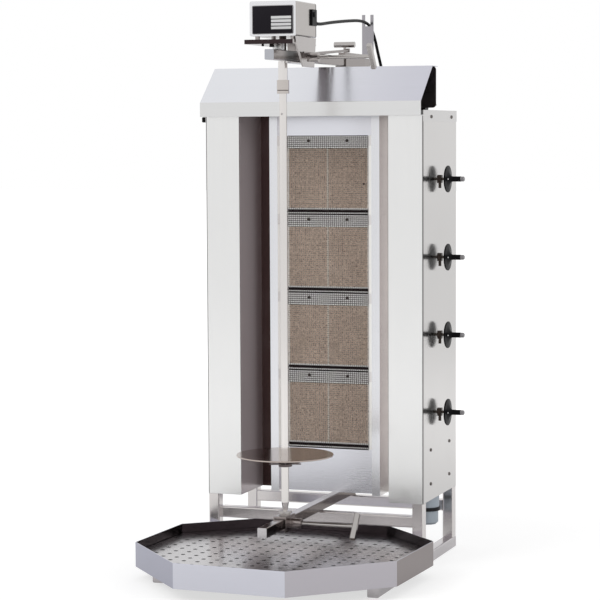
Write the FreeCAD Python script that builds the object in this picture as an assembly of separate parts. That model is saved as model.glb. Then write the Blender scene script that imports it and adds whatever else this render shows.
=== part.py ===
import FreeCAD, Part
import math
import os
from FreeCAD import Vector

os.makedirs("parts", exist_ok=True)

# Driving dimensions, in millimetres. While the model is built, x = 0 is the middle of the body,
# y = 0 its front plane with +y to the rear, and z = 0 the floor.

# Body of sheet steel
body_width = 500.0
body_depth = 268.0
body_bottom = 140.0
lower_panel_height = 99.0
upper_panel_height = 52.5
sheet = 1.5
pillar_width = 78.0
recess_depth = 139.0
channel_span = 257.0
channel_face = 18.5
channel_plane = 76.0
cap_sheet = 1.2
cap_flange = 24.5
vent_count = 8
vent_height = 6.0
vent_pitch = 30.0
vent_width = 260.0
vent_drop = 73.0

# Burners
burner_count = 4
burner_pitch = 175.0
tile_width = 92.0
tile_height = 133.0
tile_thickness = 12.7
tile_gap = 0.5
tile_setback = 26.5
flange_above = 5.5
flange_below = 13.5
burner_depth = 70.0
tile_ledge = 5.0
box_margin = 4.0
guard_depth = 4.0
guard_border = 3.0
guard_wire = 1.2
guard_pitch = 11.5
strip_hole = 2.2
strip_hole_pitch = 9.0
strip_hole_rows = 2
strip_row_pitch = 8.0
strip_screw_inset = 47.0
strip_end_margin = 14.0

# Gas train
knob_pitch_less = 3.0
top_knob_drop = 68.0
valve_radius = 12.0
valve_length = 53.0
valve_stem = 3.0
valve_neck = 7.0
neck_length = 5.0
nut_radius = 10.3
nut_length = 4.5
lug_length = 20.0
lug_width = 3.0
elbow_width = 10.0
elbow_half = 6.0
elbow_margin = 6.0
manifold_inset = 35.4
manifold_setback = 20.0
manifold_radius = 7.0
pipe_wall = 1.5
venturi_radius = 13.0
venturi_wall_gap = 2.5
venturi_gap = 12.5
flare_length = 12.0
flare_rise = 4.0
injector_radius = 5.0
injector_gap = 2.0
regulator_radius = 27.0
regulator_gap = 1.5
regulator_cap_height = 28.5
regulator_bowl_height = 39.0
regulator_bevel = 5.0
bowl_step = 2.0
throat_step = 4.0
spigot_radius = 8.0
spigot_length = 16.0
spigot_rise = 14.0
ring_radius = 29.0
ring_height = 8.0

# Knobs
knob_start = 16.0
knob_flange = 29.5
knob_flange_length = 5.0
knob_edge = 1.5
knob_waist = 5.8
knob_shoulder = 19.0
trumpet_length = 10.0
trumpet_steps = 5
tip_ring = 8.0
knob_tip = 5.4
tip_bevel = 2.0
knob_length = 40.0
stem_end = 42.0
stem_gap = 0.4

# Hood
hood_overhang = 3.2
hood_front_y = -27.0
hood_drop = 12.0
fascia_height = 31.0
hood_crest_y = 64.0
hood_rise = 77.0
hood_rear_y = 107.0
hood_gap = 5.5
hood_corner = 8.0
hood_rear_inset = 1.3
hood_tab_share = 0.6
hood_tab_half = 20.0
hood_tab_foot = 18.0
hood_tab_lap = 2.0

# Frame of square tube
frame_tube = 25.0
frame_wall = 2.0
frame_corner = 3.0
runner_front = -321.0
rail_drop = 30.0
front_rail_y = 12.5

# Arms and sleeve
arm_width = 20.0
arm_height = 21.5
arm_wall = 2.0
arm_gap = 0.3
lower_arm_front = -329.0
upper_arm_front = -270.0
arm_over_hood = 6.5
arm_behind_sleeve = 50.0
bush_pocket = 5.0
sleeve_wall = 2.5
sleeve_overlap = 71.0
sleeve_length = 138.0
post_width = 30.0
post_depth = 30.0
post_wall = 2.5
post_reach = 293.0
post_plate_width = 90.0
post_plate_drop = 33.0
post_plate = 3.0
stay_width = 16.0
stay_height = 6.0
stay_inset = 8.0
stay_behind_sleeve = 65.0
strut_front_y = -33.0
strut_x = 13.9
strut_front_radius = 3.6
strut_rear_radius = 2.5
strut_front_drop = 2.0
lug_front = 20.0
lug_rear = 13.0
lug_height = 9.0
lug_side = 17.0
fork_width = 28.0
fork_sheet = 3.0
fork_slot = 13.0
fork_stem = 67.7
prong_height = 26.5

# Motor head
box_width = 102.0
box_depth = 126.0
box_height = 72.0
box_front = -247.0
box_wall = 1.5
box_corner = 4.0
plate_width = 108.6
plate_sheet = 2.0
plate_rise = 10.7
plate_lip = 9.2
plate_rear = -131.0
spacer_front = 35.0
spacer_rear = 18.0
rear_spacer_length = 15.0
cheek_sheet = 2.5
cheek_top_front = -262.0
cheek_knee_y = -254.0
cheek_knee_drop = 2.7
cheek_foot_front = -214.0
cheek_foot_rear = -143.0
cheek_foot_drop = 14.0
cheek_gap = 1.5
notch_top_drop = 4.0
notch_front = -236.0
notch_step_y = -190.0
notch_low_front = -223.0
notch_low_rise = 3.5
notch_deep_drop = 2.5
clamp_block_front = -92.5
clamp_block_rear = -36.0
clamp_strap_front = -175.0
clamp_strap_drop = 1.5
foot_radius = 5.0
foot_height = 14.8
foot_inset_x = 12.0
foot_inset_y = 14.0
cover_thickness = 1.5
label_width = 91.0
label_height = 59.5
label_thickness = 1.2
label_drop = 2.4
switch_rise = 41.5
switch_inset = 6.0
switch_thickness = 4.0
switch_floor = 1.0
switch_length = 28.0
switch_height = 34.0
switch_corner = 1.5
rocker_inset = 5.0
rocker_rise = 6.0
rocker_length = 17.0
rocker_height = 11.0
rocker_gap = 0.4
rocker_proud = 2.5
rocker_low = 0.4
rocker_sunk = 1.2
gland_x = 41.0
gland_rise = 31.5
gland_radius = 8.0
gland_length = 5.0
relief_length = 22.5
relief_start = 6.5
relief_end = 4.2

# Spit drive
spit_y = -187.0
gear_module = 1.5
gear_teeth = 42
pinion_teeth = 14
gear_addendum = 0.9
gear_dedendum = 1.25
gear_tip_share = 0.13
gear_root_share = 0.27
gear_thickness = 8.0
gear_floor_gap = 6.0
running_clearance = 0.05
shaft_radius = 5.0
shaft_neck_radius = 10.0
shaft_neck_length = 45.0
shaft_neck_gap = 1.0
gear_hub_wall = 4.0
gear_hub_over = 4.0
shaft_over_gear = 6.0
bush_wall = 2.5
bush_over_floor = 3.0
hub_gap = 0.3
stator_radius = 19.0
stator_wall = 5.0
stator_cap_height = 4.0
rotor_gap = 0.7
rotor_bottom_gap = 2.0
rotor_top_gap = 6.0
rotor_shaft = 3.0
rotor_end_gap = 0.2
coupling_radius = 13.0
coupling_drop = 23.5
coupling_length = 28.4
groove_depth = 0.8
groove_height = 1.2
groove_rise = 6.0
spit_radius = 8.0
spit_head_drop = 10.5
spit_head_length = 12.0
spit_taper = 17.0
spit_tip_gap = 1.4
spit_tip_radius = 5.0
spit_pin_radius = 4.0
spit_pin_length = 8.0
cross_hole_drop = 55.5
cross_hole_radius = 2.2
disc_radius = 103.0
disc_rise = 116.5
disc_thickness = 3.0
disc_hub_radius = 14.0
disc_hub_length = 14.0
collar_radius = 14.0
collar_length = 9.0
collar_spikes = 8
spike_length = 22.0
spike_width = 5.0
spike_root = 4.0
spike_thickness = 3.0
spike_drop = 1.0

# Lower bearing and clamps
saddle_half_length = 28.5
saddle_shift = -6.5
saddle_cheek = 4.0
saddle_top = 5.2
saddle_drop = 6.5
saddle_strap = 3.0
strap_half_length = 12.0
cup_radius = 14.0
cup_flange = 4.0
cup_body_radius = 11.0
cup_body = 3.6
cup_spigot = 8.0
cup_gap = 0.3
clamp_radius = 4.0
clamp_boss_radius = 10.5
clamp_boss_length = 23.0
clamp_end = 150.0
lower_clamp_rise = 9.0
head_clamp_y = -64.0
grip_side = 11.0
grip_corner = 2.0
grip_length = 59.0
grip_lean = 36.0
sleeve_clamp_inset = 28.0
sleeve_clamp_pin = 3.0
sleeve_grip_radius = 6.5
sleeve_grip_length = 48.0
sleeve_grip_rise = 18.2

# Drip tray with two perforated inserts
tray_x = -3.0
tray_y = -206.0
tray_turn = -2.5
tray_width = 590.0
tray_depth = 556.0
tray_height = 53.0
tray_wall = 1.5
tray_lift = 0.3
tray_front_corner_x = 172.5
tray_front_corner_y = 179.7
tray_rear_corner_x = 155.6
tray_rear_corner_y = 144.0
insert_top = 58.0
insert_sheet = 1.5
insert_seam = 17.0
insert_margin = 2.5
ledge_width = 10.0
hole_pitch = 31.0
hole_radius = 4.75
hole_margin = 17.0
seam_margin = 4.0

# Screws
screw_head = 4.0
screw_head_height = 2.2
screw_shank = 2.0
screw_length = 6.0
side_screw_front = 62.0
side_screw_rear_inset = 56.0
side_screw_low = 36.0
side_screw_high = 111.0
cap_screw_front = 63.0
cap_screw_rear_inset = 43.0
cap_screw_drop = 14.25

# Mains lead, its coil and plug
lead_diameter = 7.0
lead_bend_share = 0.45
coil_radius = 39.0
coil_turns = 3.25
coil_pitch = 7.5
coil_x = 120.0
coil_inset = 78.0
coil_tail = 25.0
lay_gap = 0.3
plug_length = 45.0
plug_width = 26.0
plug_height = 24.0
plug_corner = 5.0
plug_relief = 25.0
plug_relief_radius = 6.0
pin_radius = 2.0
pin_length = 19.0
pin_spacing = 19.0
pin_root = 1.0

# Values worked out from the driving dimensions
half_body = body_width / 2
body_top = (body_bottom + lower_panel_height + burner_count * burner_pitch
            + upper_panel_height + sheet)
strip_height = burner_pitch - tile_height - flange_below
top_tile_edge = body_top - sheet - upper_panel_height - strip_height
tile_plane = channel_plane + tile_setback
tile_tops = [top_tile_edge - burner_pitch * row for row in range(burner_count)]
vent_top = body_top - vent_drop
pillar_inner = half_body - pillar_width
channel_outer = channel_span / 2
channel_inner = channel_outer - channel_face
knob_pitch = burner_pitch - knob_pitch_less
top_knob = top_tile_edge - top_knob_drop
knob_heights = [top_knob - knob_pitch * row for row in range(burner_count)]
valve_y = body_depth / 2
valve_end = half_body - sheet - valve_length
manifold_x = half_body - manifold_inset
manifold_y = valve_y + manifold_setback
venturi_y = recess_depth + sheet + venturi_wall_gap + venturi_radius
venturi_end = valve_end - venturi_gap
regulator_top = body_bottom - regulator_gap
regulator_cap = regulator_top - regulator_cap_height
regulator_bottom = regulator_cap - regulator_bowl_height
rail_top = body_bottom - rail_drop
hood_bottom = body_top - hood_drop
hood_fold = hood_bottom + fascia_height
hood_top = hood_fold + hood_rise
half_arm = arm_width / 2
block_half = half_arm + arm_gap + saddle_cheek
lower_arm_bottom = rail_top
lower_arm_top = lower_arm_bottom + arm_height
upper_arm_bottom = hood_top + arm_over_hood
upper_arm_top = upper_arm_bottom + arm_height
sleeve_top = upper_arm_top + arm_gap + sleeve_wall
sleeve_bottom = upper_arm_bottom - arm_gap - sleeve_wall
sleeve_front = body_depth - sleeve_overlap
sleeve_rear = sleeve_front + sleeve_length
upper_arm_rear = sleeve_rear + arm_behind_sleeve
sleeve_clamp_y = sleeve_front + sleeve_clamp_inset
post_foot = body_top - post_reach
post_plate_top = body_top - post_plate_drop
stay_top = sleeve_top + stay_height
stay_rear = sleeve_rear + stay_behind_sleeve
fork_slot_bottom = stay_top + fork_stem
fork_top = fork_slot_bottom + prong_height
plate_bottom = upper_arm_top + plate_rise
plate_top = plate_bottom + plate_sheet
box_bottom = plate_top + foot_height
box_rear = box_front + box_depth
box_top = box_bottom + box_height
gland_z = box_bottom + gland_rise
gland_end = box_rear + cover_thickness + gland_length + relief_length
head_clamp_z = (upper_arm_bottom + upper_arm_top) / 2
lower_clamp_z = lower_arm_bottom + lower_clamp_rise
sleeve_grip_z = stay_top + sleeve_grip_rise
gear_distance = gear_module * (gear_teeth + pinion_teeth) / 2
rotor_x = -gear_distance * math.sqrt(0.5)
rotor_y = spit_y + gear_distance * math.sqrt(0.5)
gear_bottom = box_bottom + box_wall + gear_floor_gap
shaft_neck_bottom = upper_arm_bottom - shaft_neck_length
coupling_bottom = shaft_neck_bottom - coupling_drop
spit_head_top = shaft_neck_bottom - spit_head_drop
cross_hole_z = spit_head_top - cross_hole_drop
saddle_front = spit_y - saddle_half_length + saddle_shift
saddle_rear = spit_y + saddle_half_length + saddle_shift
saddle_plate_bottom = lower_arm_top + arm_gap
saddle_plate_top = saddle_plate_bottom + saddle_top
cup_top = saddle_plate_top + cup_body + cup_flange
spit_tip = cup_top + spit_tip_gap
spit_taper_top = spit_tip + spit_taper
disc_z = spit_tip + disc_rise
tray_bottom = frame_tube + tray_lift
coil_y = body_depth - coil_inset
coil_bottom = body_top + lay_gap + lead_diameter / 2
coil_top = coil_bottom + coil_turns * coil_pitch

nodes = {}


def box(x0, x1, y0, y1, z0, z1):
    return Part.makeBox(x1 - x0, y1 - y0, z1 - z0, Vector(x0, y0, z0))


def rod(radius, start, end):
    base = Vector(*start)
    along = Vector(*end) - base
    return Part.makeCylinder(radius, along.Length, base, along)


def cone(start_radius, end_radius, start, end):
    base = Vector(*start)
    along = Vector(*end) - base
    return Part.makeCone(start_radius, end_radius, along.Length, base, along)


def pipe(radius, bore, start, end):
    return rod(radius, start, end).cut(rod(bore, start, end))


def fuse(first, *others):
    return first.fuse(list(others)).removeSplitter()


def cut(first, *others):
    return first.cut(list(others))


def group(shapes):
    return Part.makeCompound(list(shapes))


def mirrored(shape):
    return shape.mirror(Vector(0, 0, 0), Vector(1, 0, 0))


def prism_along_x(points, x0, x1):
    corners = [Vector(x0, y, z) for y, z in points]
    face = Part.Face(Part.makePolygon(corners + [corners[0]]))
    return face.extrude(Vector(x1 - x0, 0, 0))


def prism_along_y(points, y0, y1):
    corners = [Vector(x, y0, z) for x, z in points]
    face = Part.Face(Part.makePolygon(corners + [corners[0]]))
    return face.extrude(Vector(0, y1 - y0, 0))


def prism_along_z(points, z0, z1):
    corners = [Vector(x, y, z0) for x, y in points]
    face = Part.Face(Part.makePolygon(corners + [corners[0]]))
    return face.extrude(Vector(0, 0, z1 - z0))


def shifted_corner(before, corner, after, distance):
    # The corner of two lines, each moved to its left by the distance
    first = math.atan2(corner[1] - before[1], corner[0] - before[0])
    second = math.atan2(after[1] - corner[1], after[0] - corner[0])
    half_turn = (second - first) / 2
    middle = first + half_turn + math.pi / 2
    reach = distance / math.cos(half_turn)
    return (corner[0] + reach * math.cos(middle), corner[1] + reach * math.sin(middle))


def inset_outline(points, distance):
    # Closed outline, counterclockwise, moved inwards
    count = len(points)
    return [
        shifted_corner(points[i - 1], points[i], points[(i + 1) % count], distance)
        for i in range(count)
    ]


def folded_sheet(points, thickness):
    # Open line of folds, thickened to its left
    ends = [(2 * points[0][i] - points[1][i]) for i in range(2)]
    tails = [(2 * points[-1][i] - points[-2][i]) for i in range(2)]
    line = [tuple(ends)] + list(points) + [tuple(tails)]
    inner = [
        shifted_corner(line[i - 1], line[i], line[i + 1], thickness)
        for i in range(1, len(line) - 1)
    ]
    return list(points) + inner[::-1]


def round_edges(shape, radius, direction):
    chosen = []
    for edge in shape.Edges:
        along = edge.tangentAt(edge.FirstParameter)
        if abs(abs(along.dot(direction)) - 1) < 1e-6:
            chosen.append(edge)
    return shape.makeFillet(radius, chosen)


def square_tube(x0, x1, y0, y1, z0, z1, wall, axis, corner):
    # Tube of rectangular section with rounded corners, open at both ends
    direction = {"x": Vector(1, 0, 0), "y": Vector(0, 1, 0), "z": Vector(0, 0, 1)}[axis]
    outer = round_edges(box(x0, x1, y0, y1, z0, z1), corner, direction)
    inset = {"x": (0, wall, wall), "y": (wall, 0, wall), "z": (wall, wall, 0)}[axis]
    inner = box(
        x0 + inset[0], x1 - inset[0], y0 + inset[1], y1 - inset[1], z0 + inset[2], z1 - inset[2]
    )
    return outer.cut(inner)


def gear_blank(teeth, centre, bottom, thickness):
    # Spur gear with straight flanks and plenty of backlash
    pitch_radius = gear_module * teeth / 2
    tip_radius = pitch_radius + gear_addendum * gear_module
    root_radius = pitch_radius - gear_dedendum * gear_module
    step = 2 * math.pi / teeth
    tip_half = gear_tip_share * step
    root_half = gear_root_share * step
    points = []
    for tooth in range(teeth):
        middle = tooth * step
        for radius, offset in (
            (root_radius, -root_half),
            (tip_radius, -tip_half),
            (tip_radius, tip_half),
            (root_radius, root_half),
        ):
            angle = middle + offset
            points.append(
                (centre[0] + radius * math.cos(angle), centre[1] + radius * math.sin(angle))
            )
    return prism_along_z(points, bottom, bottom + thickness)


# Frame

def frame():
    side_inner = half_body - frame_tube
    runner = box(side_inner, half_body, runner_front, body_depth, 0, frame_tube)
    runner = round_edges(runner, frame_corner, Vector(0, 1, 0))
    hollow = box(
        side_inner + frame_wall, half_body - frame_wall,
        runner_front + frame_wall, body_depth,
        frame_wall, frame_tube - frame_wall,
    )
    runner = runner.cut(hollow)
    nodes["floor_runners"] = group([runner, mirrored(runner)])
    legs = []
    for y0 in (0, body_depth - frame_tube):
        leg = square_tube(
            side_inner, half_body, y0, y0 + frame_tube, frame_tube, body_bottom,
            frame_wall, "z", frame_corner,
        )
        legs += [leg, mirrored(leg)]
    rails = []
    for y0 in (front_rail_y, body_depth - frame_tube):
        rails.append(square_tube(
            -side_inner, side_inner, y0, y0 + frame_tube, rail_top - frame_tube, rail_top,
            frame_wall, "x", frame_corner,
        ))
    nodes["legs_and_rails"] = group(legs + rails)


# Body panels

side_screws = [
    (y, body_bottom + rise)
    for y in (side_screw_front, body_depth - side_screw_rear_inset)
    for rise in (side_screw_high, side_screw_low)
]
cap_screws = [
    (y, body_top - cap_screw_drop)
    for y in (cap_screw_front, body_depth - cap_screw_rear_inset)
]


def screw(start, direction):
    tip = [start[i] + direction[i] * screw_head_height for i in range(3)]
    end = [start[i] - direction[i] * screw_length for i in range(3)]
    return fuse(rod(screw_head, start, tip), rod(screw_shank, end, start))


def screw_holes(x0, x1):
    return [rod(screw_shank, (x0, y, z), (x1, y, z)) for y, z in side_screws + cap_screws]


def body_panels():
    inner_top = body_top - sheet
    inside = half_body - sheet
    side = box(inside, half_body, 0, body_depth, body_bottom, inner_top)
    side = cut(side, *screw_holes(inside, half_body))
    nodes["left_side_panel"] = mirrored(side)
    stem_holes = [
        rod(valve_neck, (inside, valve_y, z), (half_body, valve_y, z)) for z in knob_heights
    ]
    nodes["right_side_panel"] = cut(side, *stem_holes)
    return_rear = recess_depth + sheet
    pillar = fuse(
        box(pillar_inner, inside, 0, sheet, body_bottom, inner_top),
        box(pillar_inner, pillar_inner + sheet, 0, return_rear, body_bottom, inner_top),
        box(channel_outer, pillar_inner, recess_depth, return_rear, body_bottom, inner_top),
    )
    nodes["right_pillar"] = pillar
    nodes["left_pillar"] = mirrored(pillar)
    rear = box(-inside, inside, body_depth - sheet, body_depth, body_bottom, inner_top)
    vents = [
        box(
            -vent_width / 2, vent_width / 2, body_depth - sheet, body_depth,
            vent_top - vent_pitch * row - vent_height, vent_top - vent_pitch * row,
        )
        for row in range(vent_count)
    ]
    side_vents = [cut(vent, box(
        -post_plate_width / 2, post_plate_width / 2, 0, body_depth, 0, body_top,
    )) for vent in vents]
    nodes["rear_panel"] = cut(rear, *side_vents)
    floor = box(-inside, inside, sheet, body_depth - sheet, body_bottom, body_bottom + sheet)
    recess = box(
        -pillar_inner - sheet, pillar_inner + sheet, 0, return_rear,
        body_bottom, body_bottom + sheet,
    )
    inlet = rod(
        manifold_radius, (manifold_x, manifold_y, body_bottom),
        (manifold_x, manifold_y, body_bottom + sheet),
    )
    nodes["floor_pan"] = cut(floor, recess, inlet)
    reach = half_body + cap_sheet
    cap = box(-reach, reach, 0, body_depth, inner_top, body_top)
    flange = box(half_body, reach, 0, body_depth, body_top - cap_flange, inner_top)
    cap_holes = [
        rod(screw_shank, (half_body, y, z), (reach, y, z)) for y, z in cap_screws
    ]
    flange = cut(flange, *cap_holes)
    nodes["top_cover"] = fuse(cap, flange, mirrored(flange))
    screws = []
    for face, places in ((half_body, side_screws), (reach, cap_screws)):
        for y, z in places:
            piece = screw((face, y, z), (1, 0, 0))
            screws += [piece, mirrored(piece)]
    for z in strip_centres():
        for x in strip_screw_places():
            screws.append(screw((x, tile_plane, z), (0, -1, 0)))
    nodes["panel_screws"] = group(screws)


# Burner wall

def strip_limits():
    limits = []
    for top in tile_tops:
        above = top + strip_height
        limits.append((top + flange_above, above))
    return limits


def strip_screw_places():
    return (strip_screw_inset - tile_width, tile_width - strip_screw_inset)


def strip_centres():
    return [(low + high) / 2 for low, high in strip_limits()]


def burner_wall():
    inner_top = body_top - sheet
    channel = fuse(
        box(channel_outer - sheet, channel_outer, channel_plane, recess_depth + sheet,
            body_bottom, inner_top),
        box(channel_inner, channel_outer, channel_plane, channel_plane + sheet,
            body_bottom, inner_top),
        box(channel_inner, channel_inner + sheet, channel_plane, tile_plane + sheet,
            body_bottom, inner_top),
    )
    nodes["burner_side_channels"] = group([channel, mirrored(channel)])
    lower_top = tile_tops[-1] - tile_height - flange_below
    upper_bottom = strip_limits()[0][1]
    lower = fuse(
        box(-channel_inner, channel_inner, tile_plane, tile_plane + sheet,
            body_bottom, lower_top),
        box(-channel_inner, channel_inner, tile_plane, recess_depth,
            body_bottom, body_bottom + sheet),
    )
    upper = box(-channel_inner, channel_inner, tile_plane, tile_plane + sheet,
                upper_bottom, inner_top)
    nodes["blank_panels"] = group([lower, upper])
    strips = []
    for low, high in strip_limits():
        strip = box(-channel_inner, channel_inner, tile_plane, tile_plane + sheet, low, high)
        middle = (low + high) / 2
        holes = []
        count = int((tile_width - strip_end_margin) / strip_hole_pitch)
        for column in range(-count, count + 1):
            for row in range(strip_hole_rows):
                x = column * strip_hole_pitch
                z = middle + (row - (strip_hole_rows - 1) / 2) * strip_row_pitch
                holes.append(rod(strip_hole, (x, tile_plane - 1, z),
                                 (x, tile_plane + sheet + 1, z)))
        for x in strip_screw_places():
            holes.append(rod(screw_shank, (x, tile_plane - 1, middle),
                             (x, tile_plane + sheet + 1, middle)))
        strips.append(cut(strip, *holes))
    nodes["perforated_strips"] = group(strips)


def burners():
    boxes = []
    tiles = []
    guards = []
    rear = tile_plane + burner_depth
    tile_front = tile_plane + tile_gap
    tile_rear = tile_front + tile_thickness
    for top, knob_z in zip(tile_tops, knob_heights):
        bottom = top - tile_height
        outer = tile_width + box_margin
        plate = box(-channel_inner, channel_inner, tile_plane, tile_plane + sheet,
                    bottom - flange_below, top + flange_above)
        opening = box(-tile_width, tile_width, tile_plane, tile_rear, bottom, top)
        shell = box(-outer, outer, tile_plane, rear, bottom - box_margin, top + box_margin)
        cavity = box(
            -outer + sheet, outer - sheet, tile_rear + sheet, rear - sheet,
            bottom - box_margin + sheet, top + box_margin - sheet,
        )
        window = box(
            -tile_width + tile_ledge, tile_width - tile_ledge, tile_rear, tile_rear + sheet,
            bottom + tile_ledge, top - tile_ledge,
        )
        mouth = rod(venturi_radius - pipe_wall, (outer - sheet, venturi_y, knob_z),
                    (outer, venturi_y, knob_z))
        boxes.append(cut(fuse(plate, shell), opening, cavity, window, mouth))
        for x0, x1 in ((-tile_width, -tile_gap / 2), (tile_gap / 2, tile_width)):
            tiles.append(box(x0, x1, tile_front, tile_rear, bottom, top))
        guards.append(mesh_guard(bottom, top))
    nodes["burner_boxes"] = group(boxes)
    nodes["ceramic_tiles"] = group(tiles)
    nodes["mesh_guards"] = group(guards)


def mesh_guard(bottom, top):
    outer = tile_width + guard_border
    front = tile_plane - guard_depth
    border = cut(
        box(-outer, outer, front, tile_plane, bottom - guard_border, top + guard_border),
        box(-tile_width, tile_width, front, tile_plane, bottom, top),
    )
    wires = []
    columns = int(tile_width / guard_pitch)
    for column in range(-columns + 1, columns):
        x = column * guard_pitch
        wires.append(box(x - guard_wire / 2, x + guard_wire / 2, front, front + guard_wire,
                         bottom, top))
    rows = int(tile_height / guard_pitch)
    step = tile_height / rows
    for row in range(1, rows):
        z = bottom + row * step
        wires.append(box(-tile_width, tile_width, front, front + guard_wire,
                         z - guard_wire / 2, z + guard_wire / 2))
    return fuse(border, *wires)


# Gas train

def gas_train():
    tubes = []
    valves = []
    nuts = []
    inside = half_body - sheet
    manifold_top = knob_heights[0] + valve_radius
    manifold = rod(manifold_radius, (manifold_x, manifold_y, regulator_top),
                   (manifold_x, manifold_y, manifold_top))
    flare_start = venturi_end - flare_length
    flare_radius = venturi_radius + flare_rise
    for z in knob_heights:
        start = tile_width + box_margin
        flare = cone(venturi_radius, flare_radius, (flare_start, venturi_y, z),
                     (venturi_end, venturi_y, z))
        flare_bore = cone(venturi_radius - pipe_wall, flare_radius - pipe_wall,
                          (flare_start, venturi_y, z), (venturi_end, venturi_y, z))
        tubes.append(fuse(
            pipe(venturi_radius, venturi_radius - pipe_wall, (start, venturi_y, z),
                 (flare_start, venturi_y, z)),
            flare.cut(flare_bore),
        ))
        body = rod(valve_radius, (valve_end, valve_y, z), (inside, valve_y, z))
        neck = rod(valve_neck, (inside, valve_y, z), (half_body + neck_length, valve_y, z))
        stem = rod(valve_stem, (half_body, valve_y, z), (half_body + stem_end, valve_y, z))
        inlet = rod(injector_radius, (manifold_x, valve_y, z), (manifold_x, manifold_y, z))
        elbow = box(valve_end, valve_end + elbow_width, valve_y, venturi_y + elbow_margin,
                    z - elbow_half, z + elbow_half)
        nozzle = rod(injector_radius, (valve_end, venturi_y, z),
                     (venturi_end + injector_gap, venturi_y, z))
        valves.append(cut(fuse(body, neck, stem, inlet, elbow, nozzle), manifold))
        nut = prism_along_x(hexagon(valve_y, z, nut_radius), half_body, half_body + nut_length)
        lug = box(half_body, half_body + lug_width, valve_y - lug_width / 2,
                  valve_y + lug_width / 2, z - lug_length, z)
        nuts.append(fuse(nut, lug).cut(rod(valve_neck, (half_body, valve_y, z),
                                           (half_body + nut_length, valve_y, z))))
    nodes["venturi_tubes"] = group(tubes)
    nodes["gas_valves"] = group(valves)
    nodes["valve_nuts"] = group(nuts)
    bore = rod(manifold_radius - pipe_wall, (manifold_x, manifold_y, regulator_top),
               (manifold_x, manifold_y, manifold_top - pipe_wall))
    nodes["gas_manifold"] = manifold.cut(bore)
    centre = (manifold_x, manifold_y)
    bowl_radius = regulator_radius - bowl_step
    throat_radius = regulator_radius - throat_step
    ring_bottom = regulator_cap - ring_height
    bowl = fuse(
        cone(bowl_radius - regulator_bevel, bowl_radius, centre + (regulator_bottom,),
             centre + (regulator_bottom + regulator_bevel,)),
        rod(bowl_radius, centre + (regulator_bottom + regulator_bevel,),
            centre + (ring_bottom,)),
    )
    throat = rod(throat_radius, centre + (ring_bottom,), centre + (regulator_cap,))
    cap = fuse(
        rod(regulator_radius, centre + (regulator_cap,),
            centre + (regulator_top - regulator_bevel,)),
        cone(regulator_radius, regulator_radius - regulator_bevel,
             centre + (regulator_top - regulator_bevel,), centre + (regulator_top,)),
    )
    spigot_z = regulator_bottom + spigot_rise
    spigot = rod(spigot_radius, (manifold_x, manifold_y, spigot_z),
                 (manifold_x, manifold_y + bowl_radius + spigot_length, spigot_z))
    nodes["gas_regulator"] = fuse(bowl, throat, cap, spigot)
    nodes["regulator_ring"] = pipe(ring_radius, throat_radius,
                                   centre + (ring_bottom,), centre + (regulator_cap,))


def hexagon(first, second, radius):
    points = []
    for corner in range(6):
        angle = math.radians(60 * corner)
        points.append((first + radius * math.cos(angle), second + radius * math.sin(angle)))
    return points


def knobs():
    for row, z in enumerate(knob_heights):
        start = half_body + knob_start
        flange_end = start + knob_flange_length
        end = start + knob_length
        tip_start = end - tip_ring
        profile = [
            Vector(start, 0, 0),
            Vector(start, knob_flange - knob_edge, 0),
            Vector(start + knob_edge, knob_flange, 0),
            Vector(flange_end - knob_edge, knob_flange, 0),
        ]
        for step in range(trumpet_steps + 1):
            share = step / trumpet_steps
            radius = knob_waist + (knob_shoulder - knob_waist) * (1 - share) ** 3
            profile.append(Vector(flange_end + trumpet_length * share, radius, 0))
        profile += [
            Vector(tip_start, knob_waist, 0),
            Vector(tip_start, knob_tip, 0),
            Vector(end - tip_bevel, knob_tip, 0),
            Vector(end, knob_tip - tip_bevel, 0),
            Vector(end, 0, 0),
        ]
        face = Part.Face(Part.makePolygon(profile + [profile[0]]))
        knob = face.revolve(Vector(0, 0, 0), Vector(1, 0, 0), 360)
        bore = rod(valve_stem + running_clearance, (half_body, 0, 0),
                   (half_body + stem_end + stem_gap, 0, 0))
        knob = knob.cut(bore)
        knob.translate(Vector(0, valve_y, z))
        nodes["knob_%d" % (row + 1)] = knob


# Hood

def hood():
    folds = [
        (hood_rear_y, hood_top),
        (hood_crest_y, hood_top),
        (hood_front_y, hood_fold),
        (hood_front_y, hood_bottom),
        (0, hood_bottom),
    ]
    outline = folded_sheet(folds, sheet)
    reach = half_body + hood_overhang
    nodes["hood_front"] = prism_along_x(outline, -reach, reach)
    edge = half_body - hood_rear_inset
    low = body_top + hood_gap
    plate = box(-edge, edge, hood_rear_y, hood_rear_y + sheet, low, hood_top)
    plate = round_edges(plate, hood_corner, Vector(0, 1, 0))
    pieces = []
    for side in (-1, 1):
        x = side * half_body * hood_tab_share
        tab = (x - hood_tab_half, x + hood_tab_half, hood_rear_y)
        pieces.append(box(*tab, hood_rear_y + sheet, body_top, low + hood_tab_lap))
        pieces.append(box(*tab, hood_rear_y + hood_tab_foot, body_top, body_top + sheet))
    nodes["hood_back"] = fuse(plate, *pieces)


# Arms

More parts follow.
